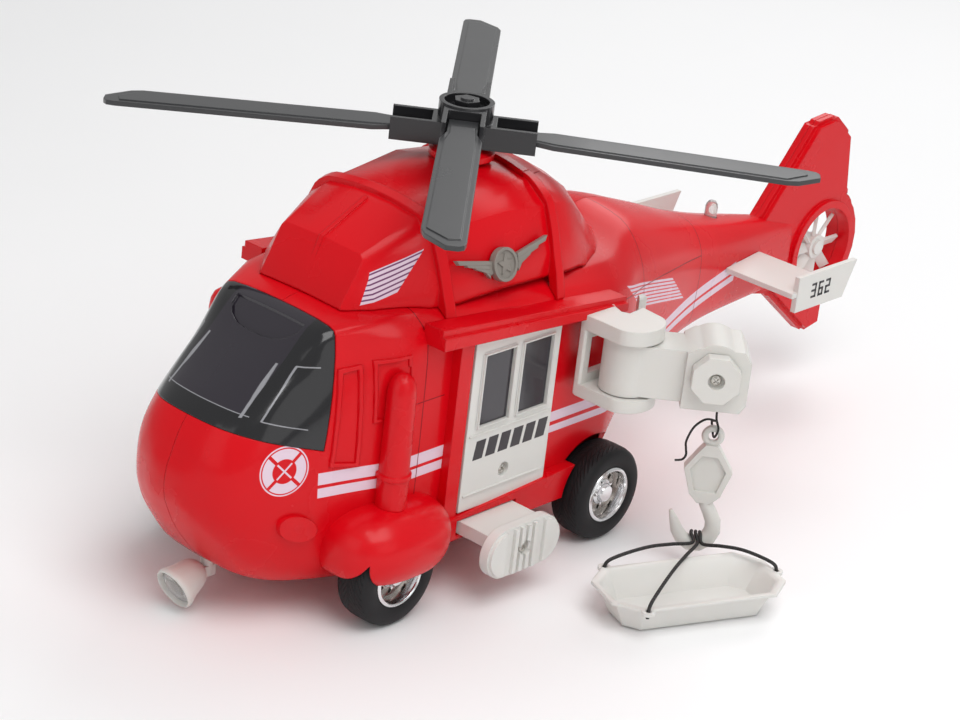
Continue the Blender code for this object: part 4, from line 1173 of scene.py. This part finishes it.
PARTS = {"tyre": (tyre(), "tyre"), "ring": (rim_ring(), "chrome"), "dish": (rim_dish(), "dish"),
         "hub": (rim_hub(), "chrome")}
for end, axle_x in (("front", FRONT_AXLE_X), ("rear", REAR_AXLE_X)):
    for side, sign in (("left", 1), ("right", -1)):
        middle = WHEEL_OUT - TYRE_WIDE / 2
        place = Matrix.Translation((axle_x, sign * middle, WHEEL_R))
        flip = Matrix.Diagonal((1.0, float(sign), 1.0, 1.0))
        for kind, (shape, look) in PARTS.items():
            stands = {"tyre": ["tyre_" + end + "_" + side],
                      "ring": ["rim_" + end + "_" + side]}.get(kind, [])
            made = change(copy_of(shape), place @ flip)
            name = kind + "_" + end + "_" + side + "_visual"
            done(made, name, look, end + "_wheels", stands, pivot=(axle_x, sign * middle, WHEEL_R))
for shape, look in PARTS.values():
    bpy.data.objects.remove(shape)


# ---- rotor ----
def rotor_hub():
    made = rod((0, 0, 159.0), (0, 0, 173.6), 10.5, 64)
    cut(made, rod((0, 0, 170.2), (0, 0, 180), 8.6, 48))
    join(made, rod((0, 0, 168), (0, 0, 174.2), 5.2, 6), rod((0, 0, 168), (0, 0, 174.8), 2.6, 24))
    for turn_by, low, high in ((ROTOR_TURN + 90, 157.6, 166.4), (ROTOR_TURN, 164.6, 173.0)):
        bar = box(-27.5, 27.5, -8, 8, low, high)
        for side in (-1, 1):
            a, b = sorted((side * 11.5, side * 40.0))
            cut(bar, box(a, b, -6.2, 6.2, low + 2.0, high + 5))
        for side in (-1, 1):
            a, b = sorted((side * 10.6, side * 12.2))
            join(bar, box(a, b, -7, 7, low + 1, high))
        join(made, moved(bar, turn=turn_by))
    cut(made, rod((0, 0, 170.2), (0, 0, 180), 8.6, 48))
    return join(made, rod((0, 0, 168), (0, 0, 174.2), 5.2, 6), rod((0, 0, 168), (0, 0, 174.8), 2.6, 24))


def blade(turn_by, root_z):
    plan = [(12.6, -5.6), (26, -5.6), (30, -6.6), (34, -7.8), (122, -8.0), (126.5, -6.6), (ROTOR_R, 1.0),
            (ROTOR_R, 5.4)]
    plan += [(133.6, 7.4), (130.5, 8.0), (34, 7.8), (30, 6.6), (26, 5.6), (12.6, 5.6)]
    made = prism(plan, "Z", -0.9, 0.9)
    crown = prism([(20, -4.6), (28, -4.6), (36, -6.0), (122, -6.2), (130, 1.5), (129, 5.8), (36, 5.6),
                   (20, 4.6)], "Z", 0.8, 1.25)
    join(made, crown)
    slope = Matrix.Rotation(math.radians(1.6), 4, "Y")
    change(made, Matrix.Translation((18, 0, root_z)) @ slope @ Matrix.Translation((-18, 0, 0)))
    return moved(made, turn=turn_by)


done(rotor_hub(), "hub", "black", "rotor", ["rotor_hub"])
BLADES = ((ROTOR_TURN + 90, 161.8), (ROTOR_TURN - 90, 161.8), (ROTOR_TURN, 168.6), (ROTOR_TURN + 180, 168.6))
for number, (turn_by, root_z) in enumerate(BLADES):
    name = "rotor_blade_" + str(number + 1)
    done(blade(turn_by, root_z), name + "_visual", "blade", "rotor", [name])

# ---- tail ----
fan = rod((FAN[0], -2.6, FAN[1]), (FAN[0], 2.6, FAN[1]), 5.5, 40)
join(fan, rod((FAN[0], 2.0, FAN[1]), (FAN[0], 3.8, FAN[1]), 3.4, 32))
for k in range(8):
    vane = box(3, FAN_R - 0.8, -0.8, 0.8, -2.4, 2.4)
    tilt = Matrix.Rotation(math.radians(35), 4, "X")
    spin = Matrix.Rotation(math.radians(45 * k), 4, "Y")
    join(fan, change(vane, Matrix.Translation((FAN[0], 0, FAN[1])) @ spin @ tilt))
done(fan, "fan", "white", "tail_rotor", ["tail_fan"])
wing = prism([(-163, 12), (-163, 49.5), (-192, 49.5), (-192, 10)], "Z", 74.2, 76.4)
join(wing, prism([(-166.5, 67.2), (-200.7, 67.2), (-208, 82.9), (-166.5, 82.9)], "Y", 47.4, 49.8))
cut(wing, body_fine(0.2, 3, 2))
both(wing, "stabiliser", "white", ("body", "body"), ["tailplane"])
DIGITS = {"3": "ABCDG", "6": "ACDEFG", "2": "ABGED"}
SEGMENTS = {
    "A": (0, 5.6, 3.4, 6.6), "B": (2.4, 3.3, 3.4, 6.6), "C": (2.4, 0, 3.4, 3.6), "D": (0, 0, 3.4, 1.0),
    "E": (0, 0, 1.0, 3.6), "F": (0, 3.3, 1.0, 6.6), "G": (0, 2.8, 3.4, 3.8),
}
for n, digit in enumerate("362"):
    for part in DIGITS[digit]:
        a, b, c, d = SEGMENTS[part]
        left_x = -176.5 - 5.0 * n
        mark = box(left_x - c, left_x - a, 49.78, 49.9, 71.8 + b, 71.8 + d)
        done(mark, "plate_mark_" + str(n + 1) + part, "print", "body")
lens_shape = lathe([(0, 92), (2.7, 92), (2.7, 99.0), (2.4, 100.4), (1.5, 101.6), (0, 102)], (-166, 0, 0),
                   (0, 0, 1), 32)
done(lens_shape, "beacon_dome", "clear", "body", ["beacon"])

# ---- searchlight ----
way = Vector((0.92, 0.0, -0.39)).normalized()
LAMP = Vector((124.0, 0.0, 12.2))
bell = [(0, -5.0), (3.6, -4.9), (5.2, -3.4), (6.2, -1.0), (7.0, 3.0), (8.2, 6.4), (8.5, 7.4), (8.4, 8.4),
        (7.8, 8.8)]
bell += [(7.2, 8.2), (6.2, 4.0), (0, 4.0)]
lamp = lathe(bell, LAMP, way, 48)
join(lamp, box(113.5, 121.5, -2.4, 2.4, 10.5, 14.8), rod((116, 0, 11), (116, 0, 21), 2.5, 24))
done(lamp, "lamp_bell", "ivory", "lamp", ["searchlight"])
glass = lathe([(0, 4.2), (5.8, 4.2), (6.7, 7.0), (6.2, 7.4), (4.4, 7.2), (4.0, 8.4), (2.0, 9.0),
               (0, 9.2)], LAMP, way, 48)
done(glass, "lamp_lens", "clear", "lamp", ["searchlight_lens"])

# ---- cords ----
def cord(name, points, radius, body, stands_for):
    """A round cord on one open curve through the points, in millimetres from the mast."""
    data = bpy.data.curves.new(name, "CURVE")
    data.dimensions = "3D"
    data.bevel_depth = radius * 0.001
    data.bevel_resolution = 4
    data.use_fill_caps = True
    data.resolution_u = 1
    line = data.splines.new("POLY")
    line.points.add(len(points) - 1)
    spots = [(Vector(p) - Vector((MIDDLE_X, 0, 0))) * 0.001 for p in points]
    for point, spot in zip(line.points, spots):
        point.co = (*spot, 1.0)
    made = bpy.data.objects.new(name, data)
    bpy.context.scene.collection.objects.link(made)
    data.materials.append(LOOKS["cord"])
    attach(made, body)
    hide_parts(*stands_for)
    return made


def curve_through(points, parts=8):
    made = []
    for i in range(len(points) - 1):
        p0 = Vector(points[max(i - 1, 0)])
        p1 = Vector(points[i])
        p2 = Vector(points[i + 1])
        p3 = Vector(points[min(i + 2, len(points) - 1)])
        for n in range(parts):
            t = n / parts
            first = p1 * 2 + (p2 - p0) * t + (p0 * 2 - p1 * 5 + p2 * 4 - p3) * t**2
            made.append((first + (p1 * 3 - p0 - p2 * 3 + p3) * t**3) * 0.5)
    return made + [Vector(points[-1])]


across = math.radians(HOOK_TURN)
aside = Vector((math.cos(across), math.sin(across), 0.0))
toward = Vector((math.sin(across), -math.cos(across), 0.0))
top = Vector((hang_x, hang_y, 0.0))


def at(a, b, z):
    return top + aside * a + toward * b + Vector((0, 0, z))


string_path = [at(0, 0, 80), at(0, 0, 70), at(0.2, 0.3, 64.0), at(1.4, 2.2, 60.6), at(0.6, 2.6, 57.4),
               at(0, 0, 56.4)]
string_path += [at(-0.6, -2.6, 58.4), at(-1.2, -2.0, 61.6), at(-0.2, 1.9, 63.6), at(-4, 4.0, 64.6),
                at(-8, 5.4, 61.5)]
string_path += [at(-10.2, 6.4, 56.0), at(-10.0, 7.2, 53.0), at(-9.6, 6.6, 50.0), at(-10.8, 6.4, 47.8),
                at(-13.6, 6.6, 47.2)]
cord("string", curve_through(string_path), 0.45, "hoist", ["hoist_string"])
bt = math.radians(BASKET_TURN)
for number, (x, y) in enumerate(EARS):
    ex = basket_at[0] + x * math.cos(bt) - y * math.sin(bt)
    ey = basket_at[1] + x * math.sin(bt) + y * math.cos(bt)
    shift = (number - 1) * 2.0
    knots = [at(shift * 0.8 - 1.0, -1.2, 14.5), at(shift * 0.9 - 1.0, 1.6, 14.9), at(shift, 5.2, 12.6)]
    low = Vector((ex, ey, 14.2))
    far = at(shift, 5.2, 12.6)
    for part, sag in ((0.25, 1.5), (0.5, 2.6), (0.75, 2.2), (0.95, 0.9)):
        here = far.lerp(low, part)
        here.z += sag
        knots.append(here)
    knots += [Vector((ex, ey, 12.9)), Vector((ex, ey, 9.8))]
    cord("sling_" + str(number + 1), curve_through(knots, 6), 0.7, "stretcher",
         ["sling_cord_" + str(number + 1)])

# ---- plain pieces that keep their CAD shape ----
KEPT = {
    "winch_pin": "steel", "winch_drum": "white", "axle_front": "steel", "axle_rear": "steel",
    "flywheel": "steel",
    "drive_gear": "white", "drive_cover": "red", "battery_box": "dark", "circuit_board": "board",
    "rotor_mast": "black",
}
for name, look in KEPT.items():
    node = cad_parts[name]
    node.data.materials.clear()
    node.data.materials.append(LOOKS[look])

# ---- floor and light ----
floor_look = Look("floor")
tinted(floor_look, (0.91, 0.91, 0.915), (0.93, 0.93, 0.935), 3.0)
floor_look.rough(0.55, 0.7, 20.0)
floor_mesh = bpy.data.meshes.new("floor")
floor_mesh.from_pydata([(-6, -6, 0), (6, -6, 0), (6, 6, 0), (-6, 6, 0)], [], [(0, 1, 2, 3)])
floor = bpy.data.objects.new("floor", floor_mesh)
bpy.context.scene.collection.objects.link(floor)
floor_mesh.materials.append(floor_look.made)


def lamp_at(name, place, aim, size, power, colour=(1.0, 1.0, 1.0)):
    data = bpy.data.lights.new(name, "AREA")
    data.shape = "RECTANGLE"
    data.size, data.size_y = size
    data.energy = power
    data.color = colour
    made = bpy.data.objects.new(name, data)
    made.location = place
    made.rotation_mode = "QUATERNION"
    made.rotation_quaternion = (Vector(aim) - Vector(place)).to_track_quat("-Z", "Y")
    bpy.context.scene.collection.objects.link(made)
    return made


lamp_at("key", (0.25, 0.55, 1.15), (0.05, 0.0, 0.07), (0.9, 0.9), 8.6)
lamp_at("front", (1.2, 0.05, 0.55), (0.05, 0.0, 0.08), (0.7, 0.9), 1.2)
lamp_at("fill", (0.25, 1.25, 0.5), (0.0, 0.0, 0.08), (0.9, 0.7), 1.2)
lamp_at("rim", (-0.9, -0.3, 0.9), (0.0, 0.0, 0.1), (0.8, 0.8), 4.5)
world = bpy.data.worlds.new("studio")
bpy.context.scene.world = world
world.use_nodes = True
world.node_tree.nodes["Background"].inputs[0].default_value = (1.0, 1.0, 1.0, 1.0)
world.node_tree.nodes["Background"].inputs[1].default_value = 0.5
bpy.context.scene.view_settings.view_transform = "Standard"
